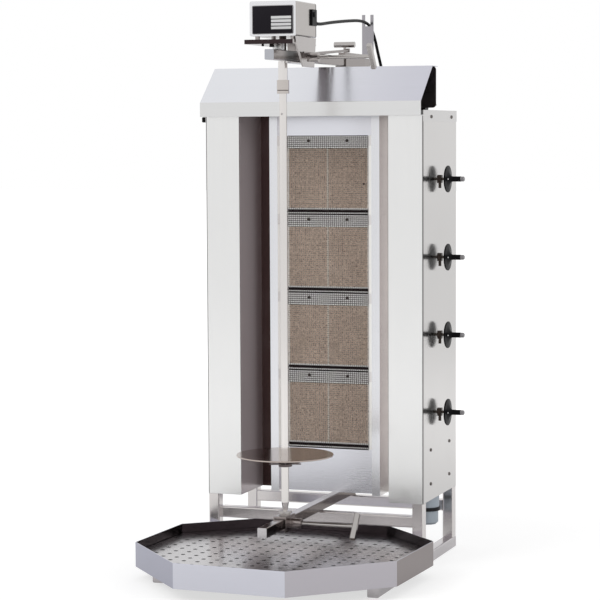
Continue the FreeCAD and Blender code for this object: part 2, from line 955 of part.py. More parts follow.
def arms():
    lower = square_tube(
        -half_arm, half_arm, lower_arm_front, body_depth, lower_arm_bottom, lower_arm_top,
        arm_wall, "y", arm_wall,
    )
    end = round_edges(
        box(-half_arm, half_arm, lower_arm_front, lower_arm_front + arm_wall,
            lower_arm_bottom, lower_arm_top), arm_wall, Vector(0, 1, 0))
    nodes["lower_arm"] = fuse(lower, end)
    upper = square_tube(
        -half_arm, half_arm, upper_arm_front, upper_arm_rear, upper_arm_bottom, upper_arm_top,
        arm_wall, "y", arm_wall,
    )
    end = round_edges(
        box(-half_arm, half_arm, upper_arm_front, upper_arm_front + arm_wall,
            upper_arm_bottom, upper_arm_top), arm_wall, Vector(0, 1, 0))
    bush = rod(shaft_radius + bush_wall, (0, spit_y, upper_arm_bottom - bush_pocket),
               (0, spit_y, upper_arm_top + bush_pocket))
    nodes["upper_arm"] = cut(fuse(upper, end), bush)
    reach = half_arm + arm_gap + sleeve_wall
    sleeve = square_tube(-reach, reach, sleeve_front, sleeve_rear, sleeve_bottom, sleeve_top,
                         sleeve_wall, "y", sleeve_wall)
    pin_hole = rod(sleeve_clamp_pin + running_clearance, (0, sleeve_clamp_y, upper_arm_top),
                   (0, sleeve_clamp_y, stay_top))
    nodes["upper_sleeve"] = cut(sleeve, pin_hole)
    half_post = post_width / 2
    post = square_tube(
        -half_post, half_post, body_depth + post_plate, body_depth + post_plate + post_depth,
        post_foot, sleeve_bottom, post_wall, "z", post_wall,
    )
    plate = box(-post_plate_width / 2, post_plate_width / 2, body_depth,
                body_depth + post_plate, post_foot, post_plate_top)
    nodes["arm_post"] = fuse(post, plate)
    half_stay = stay_width / 2
    bar = box(-half_stay, half_stay, sleeve_front + stay_inset, stay_rear, sleeve_top, stay_top)
    lug_left = half_stay - strut_rear_radius
    lug = box(lug_left, lug_side, sleeve_clamp_y - lug_front, sleeve_clamp_y - lug_rear,
              stay_top, stay_top + lug_height)
    foot = (strut_x, strut_front_y, upper_arm_top - strut_front_drop)
    head = (strut_x, sleeve_clamp_y - lug_front, stay_top + lug_height / 2)
    strut = cone(strut_front_radius, strut_rear_radius, foot, head)
    nodes["arm_stay"] = cut(fuse(bar, lug, strut), pin_hole)


def fork():
    half = fork_width / 2
    front = stay_rear - fork_sheet
    plate = box(-half, half, front, stay_rear, stay_top, fork_top)
    slot = box(-fork_slot / 2, fork_slot / 2, front, stay_rear, fork_slot_bottom, fork_top)
    nodes["cable_fork"] = plate.cut(slot)


# Motor head

def motor_head():
    half_box = box_width / 2
    half_plate = plate_width / 2
    plate = box(-half_plate, half_plate, upper_arm_front, plate_rear, plate_bottom, plate_top)
    lip = box(-half_plate, half_plate, upper_arm_front, upper_arm_front + plate_sheet,
              plate_bottom, plate_bottom + plate_lip)
    cheek_foot = upper_arm_bottom - cheek_foot_drop
    cheek = prism_along_x(
        [
            (cheek_top_front, box_bottom - cheek_gap),
            (cheek_knee_y, plate_bottom - cheek_knee_drop),
            (cheek_foot_front, cheek_foot),
            (cheek_foot_rear, cheek_foot),
            (plate_rear, box_bottom - cheek_gap),
        ],
        half_plate - cheek_sheet, half_plate,
    )
    notch_top = upper_arm_top - notch_top_drop
    notch_floor = upper_arm_bottom - notch_deep_drop
    notch_step = upper_arm_bottom + notch_low_rise
    notch = prism_along_x(
        [
            (notch_front, notch_top), (notch_low_front, notch_step),
            (notch_step_y, notch_step), (notch_step_y, notch_floor),
            (clamp_block_front, notch_floor), (clamp_block_front, notch_top),
        ],
        half_plate - cheek_sheet, half_plate,
    )
    tongue = box(-block_half, block_half, plate_rear, clamp_block_rear, plate_bottom, plate_top)
    inner = half_arm + arm_gap
    strap_bottom = upper_arm_bottom - clamp_strap_drop - plate_sheet
    block_cheek = box(inner, block_half, clamp_block_front, clamp_block_rear,
                      strap_bottom, plate_bottom)
    boss = rod(clamp_boss_radius, (inner, head_clamp_y, head_clamp_z),
               (block_half + clamp_boss_length, head_clamp_y, head_clamp_z))
    block_cheek_right = fuse(block_cheek, boss)
    clamp_hole = rod(clamp_radius + running_clearance, (inner, head_clamp_y, head_clamp_z),
                     (block_half + clamp_boss_length, head_clamp_y, head_clamp_z))
    strap = box(-block_half, block_half, clamp_strap_front, clamp_block_rear,
                strap_bottom, strap_bottom + plate_sheet)
    spacer = box(-half_arm, half_arm, spit_y - spacer_front, spit_y - spacer_rear,
                 upper_arm_top, plate_bottom)
    rear_spacer = box(-half_arm, half_arm, plate_rear, plate_rear + rear_spacer_length,
                      upper_arm_top, plate_bottom)
    bracket = fuse(plate, lip, cut(cheek, notch), tongue, block_cheek_right,
                   mirrored(block_cheek), strap, spacer, rear_spacer)
    bracket = cut(bracket, clamp_hole)
    hole = rod(shaft_radius + bush_wall, (0, spit_y, plate_bottom - 1),
               (0, spit_y, plate_top + 1))
    feet = []
    for x in (foot_inset_x - half_box, half_box - foot_inset_x):
        for y in (box_front + foot_inset_y, box_rear - foot_inset_y):
            feet.append(rod(foot_radius, (x, y, plate_top), (x, y, box_bottom)))
    nodes["motor_bracket"] = cut(fuse(bracket, *feet), hole)
    shell = box(-half_box, half_box, box_front, box_rear, box_bottom, box_top)
    shell = round_edges(shell, box_corner, Vector(0, 1, 0))
    hollow = box(-half_box + box_wall, half_box - box_wall, box_front + box_wall, box_rear,
                 box_bottom + box_wall, box_top - box_wall)
    floor_hole = rod(shaft_radius + bush_wall, (0, spit_y, box_bottom - 1),
                     (0, spit_y, box_bottom + box_wall + 1))
    nodes["motor_box"] = cut(shell, hollow, floor_hole)
    cover = box(-half_box, half_box, box_rear, box_rear + cover_thickness, box_bottom, box_top)
    nodes["motor_box_cover"] = round_edges(cover, box_corner, Vector(0, 1, 0))
    middle_z = (box_bottom + box_top) / 2 - label_drop
    nodes["box_plate"] = box(-label_width / 2, label_width / 2,
                             box_front - label_thickness, box_front,
                             middle_z - label_height / 2, middle_z + label_height / 2)
    motor_axis = (rotor_x, rotor_y)
    stator_bottom = box_bottom + box_height / 2
    ceiling = box_top - box_wall
    stator = pipe(stator_radius, stator_radius - stator_wall, motor_axis + (stator_bottom,),
                  motor_axis + (ceiling,))
    stator_cap = pipe(stator_radius, rotor_shaft + running_clearance,
                      motor_axis + (ceiling - stator_cap_height,), motor_axis + (ceiling,))
    nodes["motor_stator"] = fuse(stator, stator_cap)
    core = rod(stator_radius - stator_wall - rotor_gap,
               motor_axis + (stator_bottom + rotor_bottom_gap,),
               motor_axis + (ceiling - rotor_top_gap,))
    rotor_stem = rod(rotor_shaft, motor_axis + (box_bottom + box_wall + rotor_end_gap,),
                     motor_axis + (ceiling - rotor_end_gap,))
    pinion = gear_blank(pinion_teeth, (0, 0), 0, gear_thickness)
    mesh_turn = 180.0 / pinion_teeth
    contact = math.degrees(math.atan2(spit_y - rotor_y, -rotor_x))
    pinion.rotate(Vector(0, 0, 0), Vector(0, 0, 1), contact + mesh_turn)
    pinion.translate(Vector(rotor_x, rotor_y, gear_bottom))
    nodes["motor_rotor"] = fuse(core, rotor_stem, pinion)
    bearings = [
        pipe(shaft_radius + bush_wall, shaft_radius + running_clearance,
             (0, spit_y, upper_arm_bottom),
             (0, spit_y, box_bottom + box_wall + bush_over_floor)),
        pipe(rotor_shaft + bush_wall, rotor_shaft + running_clearance,
             motor_axis + (box_bottom + box_wall,), motor_axis + (gear_bottom - 1,)),
    ]
    nodes["head_bearings"] = group(bearings)


def box_fittings():
    face = box_width / 2
    rear = box_rear - switch_inset
    middle_z = box_bottom + switch_rise
    outer = face + switch_thickness
    block = box(face, outer, rear - switch_length, rear,
                middle_z - switch_height / 2, middle_z + switch_height / 2)
    block = round_edges(block, switch_corner, Vector(1, 0, 0))
    rocker_z = middle_z + rocker_rise
    slot_rear = rear - rocker_inset
    slot = box(face + switch_floor, outer, slot_rear - rocker_length, slot_rear,
               rocker_z - rocker_height / 2, rocker_z + rocker_height / 2)
    nodes["switch_block"] = block.cut(slot)
    centre_y = slot_rear - rocker_length / 2
    half_length = rocker_length / 2 - rocker_gap
    half_height = rocker_height / 2 - rocker_gap
    rocker = prism_along_z(
        [
            (outer - rocker_sunk, centre_y - half_length),
            (outer + rocker_proud, centre_y - half_length + switch_corner),
            (outer + rocker_low, centre_y),
            (outer + rocker_low, centre_y + half_length - rocker_gap),
            (outer - rocker_sunk, centre_y + half_length - rocker_gap),
        ],
        rocker_z - half_height, rocker_z + half_height,
    )
    nodes["rocker_switch"] = rocker
    start = box_rear + cover_thickness
    collar = rod(gland_radius, (gland_x, start, gland_z), (gland_x, start + gland_length, gland_z))
    relief = cone(relief_start, relief_end, (gland_x, start + gland_length, gland_z),
                  (gland_x, gland_end, gland_z))
    nodes["cable_gland"] = fuse(collar, relief)


# Spit and what it carries

def spit_drive():
    axis = (0, spit_y)
    gear = gear_blank(gear_teeth, axis, gear_bottom, gear_thickness)
    contact = math.degrees(math.atan2(rotor_y - spit_y, rotor_x))
    gear.rotate(Vector(0, spit_y, 0), Vector(0, 0, 1), contact)
    gear_top = gear_bottom + gear_thickness
    hub = rod(shaft_radius + gear_hub_wall,
              axis + (box_bottom + box_wall + bush_over_floor + hub_gap,),
              axis + (gear_top + gear_hub_over,))
    stem = rod(shaft_radius, axis + (shaft_neck_bottom,), axis + (gear_top + shaft_over_gear,))
    neck = rod(shaft_neck_radius, axis + (shaft_neck_bottom,),
               axis + (upper_arm_bottom - shaft_neck_gap,))
    nodes["drive_shaft"] = fuse(gear, hub, stem, neck)
    coupling_top = coupling_bottom + coupling_length
    sleeve = pipe(coupling_radius, shaft_neck_radius + running_clearance,
                  axis + (coupling_bottom,), axis + (coupling_top,))
    groove_bottom = coupling_bottom + groove_rise
    groove = pipe(coupling_radius, coupling_radius - groove_depth,
                  axis + (groove_bottom,), axis + (groove_bottom + groove_height,))
    nodes["drive_coupling"] = sleeve.cut(groove)
    head = rod(shaft_neck_radius, axis + (spit_head_top - spit_head_length,),
               axis + (spit_head_top,))
    shank = rod(spit_radius, axis + (spit_taper_top,), axis + (spit_head_top,))
    taper = cone(spit_tip_radius, spit_radius, axis + (spit_tip,), axis + (spit_taper_top,))
    pin = rod(spit_pin_radius, axis + (spit_tip - spit_pin_length,), axis + (spit_tip,))
    hole = rod(cross_hole_radius, (0, spit_y - spit_radius, cross_hole_z),
               (0, spit_y + spit_radius, cross_hole_z))
    nodes["spit"] = cut(fuse(head, shank, taper, pin), hole)
    bore = rod(spit_radius + running_clearance, axis + (spit_taper_top,),
               axis + (disc_z + disc_thickness,))
    disc = rod(disc_radius, axis + (disc_z,), axis + (disc_z + disc_thickness,))
    hub = rod(disc_hub_radius, axis + (disc_z - disc_hub_length,), axis + (disc_z,))
    nodes["meat_disc"] = cut(fuse(disc, hub), bore)
    collar_top = disc_z - disc_hub_length
    collar = rod(collar_radius, axis + (collar_top - collar_length,), axis + (collar_top,))
    spikes = []
    for spike in range(collar_spikes):
        points = [
            (collar_radius - spike_root, -spike_width),
            (collar_radius + spike_length, 0),
            (collar_radius - spike_root, spike_width),
        ]
        spike_top = collar_top - spike_drop
        piece = prism_along_z(points, spike_top - spike_thickness, spike_top)
        piece.rotate(Vector(0, 0, 0), Vector(0, 0, 1), 360.0 / collar_spikes * spike)
        piece.translate(Vector(0, spit_y, 0))
        spikes.append(piece)
    nodes["disc_collar"] = cut(fuse(collar, *spikes), bore)


# Lower bearing, clamps

def t_handle(y, z, lean):
    # Clamp screw along x with a square grip across its end
    shank = rod(clamp_radius, (half_arm + arm_gap, y, z), (clamp_end, y, z))
    half = grip_side / 2
    grip = box(clamp_end, clamp_end + grip_side, -half, half, -grip_length / 2, grip_length / 2)
    grip = round_edges(grip, grip_corner, Vector(0, 0, 1))
    grip.rotate(Vector(0, 0, 0), Vector(1, 0, 0), lean)
    grip.translate(Vector(0, y, z))
    return fuse(shank, grip)


def lower_bearing():
    inner = half_arm + arm_gap
    bottom = lower_arm_bottom - saddle_drop
    top = box(-block_half, block_half, saddle_front, saddle_rear,
              saddle_plate_bottom, saddle_plate_top)
    cheek = box(inner, block_half, saddle_front, saddle_rear, bottom, saddle_plate_top)
    strap = box(-block_half, block_half, spit_y - strap_half_length,
                spit_y + strap_half_length, bottom, bottom + saddle_strap)
    boss_end = block_half + clamp_boss_length
    boss = rod(clamp_boss_radius, (inner, spit_y, lower_clamp_z),
               (boss_end, spit_y, lower_clamp_z))
    clamp_hole = rod(clamp_radius + running_clearance, (inner, spit_y, lower_clamp_z),
                     (boss_end, spit_y, lower_clamp_z))
    spigot_hole = rod(cup_spigot, (0, spit_y, saddle_plate_bottom),
                      (0, spit_y, saddle_plate_top))
    saddle = fuse(top, cheek, mirrored(cheek), strap, boss)
    nodes["lower_saddle"] = cut(saddle, clamp_hole, spigot_hole)
    flange_bottom = cup_top - cup_flange
    cup = fuse(
        rod(cup_spigot, (0, spit_y, saddle_plate_bottom + cup_gap),
            (0, spit_y, saddle_plate_top)),
        rod(cup_body_radius, (0, spit_y, saddle_plate_top), (0, spit_y, flange_bottom)),
        rod(cup_radius, (0, spit_y, flange_bottom), (0, spit_y, cup_top)),
    )
    well = rod(spit_pin_radius + running_clearance,
               (0, spit_y, spit_tip - spit_pin_length - cup_gap), (0, spit_y, cup_top))
    nodes["bearing_cup"] = cup.cut(well)
    nodes["lower_clamp_screw"] = t_handle(spit_y, lower_clamp_z, -grip_lean)
    nodes["head_clamp_screw"] = t_handle(head_clamp_y, head_clamp_z, grip_lean)
    pin = rod(sleeve_clamp_pin, (0, sleeve_clamp_y, upper_arm_top + arm_gap),
              (0, sleeve_clamp_y, sleeve_grip_z))
    half_grip = sleeve_grip_length / 2
    handle = rod(sleeve_grip_radius, (-half_grip, sleeve_clamp_y, sleeve_grip_z),
                 (half_grip, sleeve_clamp_y, sleeve_grip_z))
    nodes["sleeve_clamp_screw"] = fuse(pin, handle)


# Drip tray

def tray_outline():
    half_width = tray_width / 2
    half_depth = tray_depth / 2
    return [
        (-half_width + tray_front_corner_x, -half_depth),
        (half_width - tray_front_corner_x, -half_depth),
        (half_width, -half_depth + tray_front_corner_y),
        (half_width, half_depth - tray_rear_corner_y),
        (half_width - tray_rear_corner_x, half_depth),
        (-half_width + tray_rear_corner_x, half_depth),
        (-half_width, half_depth - tray_rear_corner_y),
        (-half_width, -half_depth + tray_front_corner_y),
    ]


def inside_outline(point, outline):
    count = len(outline)
    for i in range(count):
        first = outline[i]
        second = outline[(i + 1) % count]
        side = (second[0] - first[0]) * (point[1] - first[1])
        side -= (second[1] - first[1]) * (point[0] - first[0])
        if side < 0:
            return False
    return True


def place_tray(shape):
    shape.rotate(Vector(0, 0, 0), Vector(0, 0, 1), tray_turn)
    shape.translate(Vector(tray_x, tray_y, 0))
    return shape


def tray():
    outline = tray_outline()
    inner = inset_outline(outline, tray_wall)
    ledge_inner = inset_outline(outline, tray_wall + ledge_width)
    ledge_top = insert_top - insert_sheet - lay_gap
    pan = prism_along_z(outline, tray_bottom, tray_bottom + tray_height)
    pan = pan.cut(prism_along_z(inner, tray_bottom + tray_wall, tray_bottom + tray_height + 1))
    ledge = prism_along_z(inner, ledge_top - tray_wall, ledge_top)
    ledge = ledge.cut(prism_along_z(ledge_inner, ledge_top - tray_wall, ledge_top))
    nodes["drip_tray"] = place_tray(fuse(pan, ledge))
    insert_line = inset_outline(outline, tray_wall + insert_margin)
    whole = prism_along_z(insert_line, insert_top - insert_sheet, insert_top)
    hole_line = inset_outline(outline, tray_wall + insert_margin + hole_margin)
    holes = []
    columns = int(tray_width / hole_pitch / 2) + 1
    rows = int(tray_depth / hole_pitch / 2) + 1
    for column in range(-columns, columns + 1):
        for row in range(-rows, rows + 1):
            centre = (column * hole_pitch, row * hole_pitch)
            clear_of_seam = abs(centre[0] - insert_seam) > hole_radius + seam_margin
            if clear_of_seam and inside_outline(centre, hole_line):
                holes.append(rod(hole_radius, centre + (insert_top - insert_sheet - 1,),
                                 centre + (insert_top + 1,)))
    sheet_with_holes = whole.cut(group(holes))
    far = tray_width
    left_half = box(-far, insert_seam - lay_gap, -far, far, 0, insert_top + 1)
    right_half = box(insert_seam + lay_gap, far, -far, far, 0, insert_top + 1)
    nodes["insert_left"] = place_tray(sheet_with_holes.common(left_half))
    nodes["insert_right"] = place_tray(sheet_with_holes.common(right_half))


# Mains lead

lead_points = [
    (gland_x, gland_end, gland_z),
    (gland_x, gland_end + 22.0, gland_z),
    (36.5, -30.0, gland_z + 3.0),
    (30.0, 40.0, gland_z + 9.0),
    (22.0, 130.0, fork_slot_bottom - 2.0),
    (13.5, stay_rear - 172.0, fork_slot_bottom + 4.5),
    (6.0, stay_rear - 88.0, fork_slot_bottom + 9.0),
    (1.5, stay_rear - 28.0, fork_slot_bottom + 8.5),
    (1.0, stay_rear + 12.0, fork_slot_bottom + 2.1),
    (4.0, stay_rear + 38.0, stay_top + 44.2),
    (11.0, stay_rear + 41.0, stay_top + 8.2),
    (21.0, stay_rear + 38.0, body_top + 103.0),
    (33.0, stay_rear + 25.0, body_top + 67.0),
    (46.0, stay_rear - 4.0, body_top + 41.0),
    (58.0, stay_rear - 48.0, body_top + 27.0),
    (69.0, body_depth + 32.0, body_top + 21.0),
    (78.0, coil_y + 60.0, body_top + 22.5),
    (coil_x - coil_radius, coil_y + 25.0, coil_top - 1.5),
    (coil_x - coil_radius, coil_y, coil_top),
]


def cord_tube(points, diameter):
    # Straight runs joined by arcs that touch both neighbours
    places = [Vector(*point) for point in points]
    edges = []
    radii = []
    last = places[0]
    for i in range(1, len(places) - 1):
        before = places[i - 1] - places[i]
        after = places[i + 1] - places[i]
        turn = math.pi - before.getAngle(after)
        reach = lead_bend_share * min(before.Length, after.Length)
        radius = reach / math.tan(turn / 2)
        radii.append(radius)
        before.normalize()
        after.normalize()
        start = places[i] + before * reach
        end = places[i] + after * reach
        bisector = (before + after).normalize()
        centre_distance = radius / math.cos(turn / 2)
        middle = places[i] + bisector * (centre_distance - radius)
        edges.append(Part.LineSegment(last, start).toShape())
        edges.append(Part.Arc(start, middle, end).toShape())
        last = end
    edges.append(Part.LineSegment(last, places[-1]).toShape())
    path = Part.Wire(edges)
    direction = places[1] - places[0]
    circle = Part.Wire([Part.makeCircle(diameter / 2, places[0], direction)])
    tube = path.makePipeShell([circle], True, False)
    expected = math.pi * diameter ** 2 / 4 * path.Length
    print("lead length %.0f, tightest bend %.1f, volume share %.4f"
          % (path.Length, min(radii), tube.Volume / expected))
    return tube


def mains():
    nodes["mains_lead"] = cord_tube(lead_points, lead_diameter)
    half = lead_diameter / 2
    ring = pipe(coil_radius + half, coil_radius - half,
                (coil_x, coil_y, body_top + lay_gap), (coil_x, coil_y, coil_top + half))
    tail_y = coil_y - coil_radius
    tail = rod(half, (coil_x, tail_y, coil_bottom), (coil_x + coil_tail, tail_y, coil_bottom))
    nodes["mains_coil"] = fuse(ring, tail)
    start = coil_x + coil_tail
    end = start + plug_relief
    small = Part.Wire([Part.makeCircle(half, Vector(start, tail_y, coil_bottom),
                                       Vector(1, 0, 0))])
    large_z = body_top + lay_gap + plug_relief_radius
    large = Part.Wire([Part.makeCircle(plug_relief_radius, Vector(end, tail_y, large_z),
                                       Vector(1, 0, 0))])
    relief = Part.makeLoft([small, large], True, True)
    body = box(end, end + plug_length, tail_y - plug_width / 2, tail_y + plug_width / 2,
               body_top + lay_gap, body_top + lay_gap + plug_height)
    body = round_edges(body, plug_corner, Vector(1, 0, 0))
    pin_z = body_top + lay_gap + plug_height / 2
    pins = [
        rod(pin_radius, (end + plug_length - pin_root, tail_y + side * pin_spacing / 2, pin_z),
            (end + plug_length + pin_length, tail_y + side * pin_spacing / 2, pin_z))
        for side in (-1, 1)
    ]
    nodes["mains_plug"] = fuse(relief, body, *pins)


cords = ("mains_lead", "mains_coil", "mains_plug")


def model_box():
    # Box round everything but the lead and what is on it
    whole = FreeCAD.BoundBox()
    for name, shape in nodes.items():
        if name not in cords:
            whole.add(shape.optimalBoundingBox(False, False))
    return whole


def build():
    frame()
    body_panels()
    burner_wall()
    burners()
    gas_train()
    knobs()
    hood()
    arms()
    fork()
    motor_head()
    box_fittings()
    spit_drive()
    lower_bearing()
    tray()
    mains()
    whole = model_box()
    shift = Vector(-whole.Center.x, -whole.Center.y, -whole.ZMin)
    for name, shape in nodes.items():
        shape.translate(shift)
        shape.exportStep("parts/%s.step" % name)
    print("shift %.4f %.4f %.4f" % tuple(shift))
    print("size %.2f %.2f %.2f" % (whole.XLength, whole.YLength, whole.ZLength))
    print("nodes", len(nodes))
    return shift


origin_shift = build()
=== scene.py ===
import bmesh
import bpy
import math
from mathutils import Matrix, Vector

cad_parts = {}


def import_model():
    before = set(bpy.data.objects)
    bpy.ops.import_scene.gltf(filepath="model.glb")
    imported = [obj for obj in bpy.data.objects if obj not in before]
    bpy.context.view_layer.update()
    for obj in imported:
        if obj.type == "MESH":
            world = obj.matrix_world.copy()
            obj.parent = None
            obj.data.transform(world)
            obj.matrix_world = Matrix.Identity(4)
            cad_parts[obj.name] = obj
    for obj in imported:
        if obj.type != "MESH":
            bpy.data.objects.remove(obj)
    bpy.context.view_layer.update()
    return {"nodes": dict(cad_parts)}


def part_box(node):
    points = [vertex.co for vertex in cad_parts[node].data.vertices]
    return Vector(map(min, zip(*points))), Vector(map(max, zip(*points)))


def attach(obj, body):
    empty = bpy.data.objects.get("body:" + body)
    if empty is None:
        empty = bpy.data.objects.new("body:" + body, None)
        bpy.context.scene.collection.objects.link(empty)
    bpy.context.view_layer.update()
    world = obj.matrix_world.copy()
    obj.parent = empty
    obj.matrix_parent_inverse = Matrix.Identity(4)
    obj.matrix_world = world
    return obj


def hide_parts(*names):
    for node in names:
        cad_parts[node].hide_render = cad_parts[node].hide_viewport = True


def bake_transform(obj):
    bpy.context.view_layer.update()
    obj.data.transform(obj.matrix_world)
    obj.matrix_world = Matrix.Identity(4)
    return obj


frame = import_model()
mm = 0.001

# The body's middle, its front plane and the floor, from which places are given in millimetres.
cover_low, cover_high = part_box("top_cover")
body_origin = Vector(((cover_low.x + cover_high.x) / 2, cover_low.y, 0))


def at(x, y, z):
    return body_origin + Vector((x, y, z)) * mm


def limits(node_name):
    """Low and high corner of a CAD node, in millimetres from that origin."""
    return [(corner - body_origin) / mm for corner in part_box(node_name)]


# Camera

photo_azimuth = 19.48986
photo_pitch = 4.34797
photo_roll = -0.27414
photo_distance = 4765.118
photo_lens = 130.484
sensor_width = 36.0
look_height = 579.938
look_aside = -28.975
nearest_seen = 0.5
farthest_seen = 60


def camera():
    azimuth = math.radians(photo_azimuth)
    pitch = math.radians(photo_pitch)
    right = Vector((math.cos(azimuth), math.sin(azimuth), 0))
    back = Vector((
        math.sin(azimuth) * math.cos(pitch), -math.cos(azimuth) * math.cos(pitch), math.sin(pitch),
    ))
    up = back.cross(right)
    turn = Matrix((right, up, back)).transposed()
    roll = Matrix.Rotation(math.radians(photo_roll), 3, "Z")
    data = bpy.data.cameras.new("photo_camera")
    data.lens = photo_lens
    data.sensor_width = sensor_width
    data.clip_start = nearest_seen
    data.clip_end = farthest_seen
    made = bpy.data.objects.new("photo_camera", data)
    place = at(0, 0, look_height) + (right * look_aside + back * photo_distance) * mm
    made.matrix_world = Matrix.Translation(place) @ (turn @ roll).to_4x4()
    bpy.context.scene.collection.objects.link(made)
    bpy.context.scene.camera = made


# Light, floor and background

def light_path_is_seen(tree):
    path = tree.nodes.new("ShaderNodeLightPath")
    first = maths(tree, "MAXIMUM", path.outputs["Is Camera Ray"], path.outputs["Is Glossy Ray"])
    return maths(tree, "MAXIMUM", first, path.outputs["Is Transmission Ray"])


# Levels of the cloth tent that metal mirrors, from low to high and from left to right
low_sky = -0.25
high_sky = 0.75
low_level = 0.90
high_level = 0.86
left_sky = -0.2
right_sky = 1.0
right_level = 0.96
shade_level = 0.55


def studio_level(tree):
    """White for the camera; what metal mirrors is a little softer, as in a tent of cloth."""
    path = tree.nodes.new("ShaderNodeLightPath")
    tent = spread(tree, along(tree, "Z", "Generated"), low_sky, high_sky, low_level, high_level)
    side = spread(tree, along(tree, "X", "Generated"), left_sky, right_sky, 1.0, right_level)
    lacking = maths(tree, "SUBTRACT", 1.0, maths(tree, "MULTIPLY", tent, side))
    mirrored = maths(tree, "MULTIPLY", path.outputs["Is Glossy Ray"], lacking)
    return maths(tree, "SUBTRACT", 1.0, mirrored)


def sky():
    world = bpy.data.worlds.new("studio_sky")
    bpy.context.scene.world = world
    world.use_nodes = True
    tree = world.node_tree
    tree.nodes.clear()
    seen = node(tree, "ShaderNodeBackground", Color=(1, 1, 1, 1), Strength=1.0)
    tree.links.new(studio_level(tree), seen.inputs["Strength"])
    unseen = node(tree, "ShaderNodeBackground", Color=(1, 1, 1, 1), Strength=shade_level)
    both = node(tree, "ShaderNodeMixShader")
    tree.links.new(light_path_is_seen(tree), both.inputs[0])
    tree.links.new(unseen.outputs[0], both.inputs[1])
    tree.links.new(seen.outputs[0], both.inputs[2])
    output = tree.nodes.new("ShaderNodeOutputWorld")
    tree.links.new(both.outputs[0], output.inputs[0])


# Floor: its own colour, and a glow for the camera that grows away from the object
floor_size = 30
floor_colour = (0.45, 0.45, 0.45, 1)
mirrored_floor = 0.62
near_floor = 0.5
far_floor = 2.4
near_glow = 0.66
far_glow = 0.92


def floor():
    shape = bmesh.new()
    bmesh.ops.create_grid(shape, x_segments=1, y_segments=1, size=floor_size)
    mesh = bpy.data.meshes.new("studio_floor")
    shape.to_mesh(mesh)
    shape.free()
    made = bpy.data.objects.new("studio_floor", mesh)
    bpy.context.scene.collection.objects.link(made)
    material = bpy.data.materials.new("pale_floor")
    material.use_nodes = True
    tree = material.node_tree
    tree.nodes.clear()
    plain = node(tree, "ShaderNodeBsdfDiffuse", Color=floor_colour)
    glow = node(tree, "ShaderNodeEmission", Color=(1, 1, 1, 1))
    away = tree.nodes.new("ShaderNodeVectorMath")
    away.operation = "LENGTH"
    tree.links.new(object_place(tree), away.inputs[0])
    level = spread(tree, away.outputs["Value"], near_floor, far_floor, near_glow, far_glow,
                   smooth=True)
    path = tree.nodes.new("ShaderNodeLightPath")
    dimmed = spread(tree, path.outputs["Is Glossy Ray"], 0, 1, 1.0, mirrored_floor)
    seen = maths(tree, "MULTIPLY", light_path_is_seen(tree), dimmed)
    tree.links.new(maths(tree, "MULTIPLY", seen, level), glow.inputs["Strength"])
    both = tree.nodes.new("ShaderNodeAddShader")
    tree.links.new(plain.outputs[0], both.inputs[0])
    tree.links.new(glow.outputs[0], both.inputs[1])
    output = tree.nodes.new("ShaderNodeOutputMaterial")
    tree.links.new(both.outputs[0], output.inputs[0])
    mesh.materials.append(material)


softbox_size = 2.6
softbox_target = (0, 0, 0.6)
softboxes = (
    ("key_softbox", (-2.2, -3.0, 3.0), 70),
    ("fill_softbox", (3.6, -1.6, 1.8), 34),
    ("rear_softbox", (0.5, 3.6, 2.6), 30),
)


def lights():
    for name, place, power in softboxes:
        data = bpy.data.lights.new(name, "AREA")
        data.shape = "SQUARE"
        data.size = softbox_size
        data.energy = power
        made = bpy.data.objects.new(name, data)
        back = Vector(place) - Vector(softbox_target)
        turn = back.to_track_quat("Z", "Y").to_matrix().to_4x4()
        made.matrix_world = Matrix.Translation(Vector(place)) @ turn
        made.visible_glossy = False
        bpy.context.scene.collection.objects.link(made)


# Node helpers

def node(tree, kind, **inputs):
    made = tree.nodes.new(kind)
    for socket, value in inputs.items():
        made.inputs[socket.replace("_", " ")].default_value = value
    return made


def maths(tree, operation, first, second):
    made = tree.nodes.new("ShaderNodeMath")
    made.operation = operation
    for socket, value in zip(made.inputs, (first, second)):
        if isinstance(value, bpy.types.NodeSocket):
            tree.links.new(value, socket)
        else:
            socket.default_value = value
    return made.outputs[0]


def object_place(tree, stretch=(1, 1, 1)):
    """Object coordinates, stretched along each axis."""
    coordinates = tree.nodes.new("ShaderNodeTexCoord")
    mapping = tree.nodes.new("ShaderNodeMapping")
    tree.links.new(coordinates.outputs["Object"], mapping.inputs["Vector"])
    mapping.inputs["Scale"].default_value = stretch
    return mapping.outputs[0]


def along(tree, axis, kind="Object"):
    """One axis of the object's or the world's coordinates."""
    coordinates = tree.nodes.new("ShaderNodeTexCoord")
    split = tree.nodes.new("ShaderNodeSeparateXYZ")
    tree.links.new(coordinates.outputs[kind], split.inputs[0])
    return split.outputs[axis]


def noise(tree, place, scale=1.0, detail=2.0, rough=0.5):
    made = node(tree, "ShaderNodeTexNoise", Scale=scale, Detail=detail, Roughness=rough)
    tree.links.new(place, made.inputs["Vector"])
    return made.outputs["Fac"]


def spread(tree, value, low, high, to_low=0.0, to_high=1.0, smooth=False):
    made = tree.nodes.new("ShaderNodeMapRange")
    made.interpolation_type = "SMOOTHSTEP" if smooth else "LINEAR"
    tree.links.new(value, made.inputs["Value"])
    made.inputs["From Min"].default_value = low
    made.inputs["From Max"].default_value = high
    made.inputs["To Min"].default_value = to_low
    made.inputs["To Max"].default_value = to_high
    return made.outputs["Result"]


def part_of(tree, axis, start, end):
    """0 before start and 1 after end along an axis, in metres of the row frame."""
    return spread(tree, along(tree, axis), start, end, smooth=True)


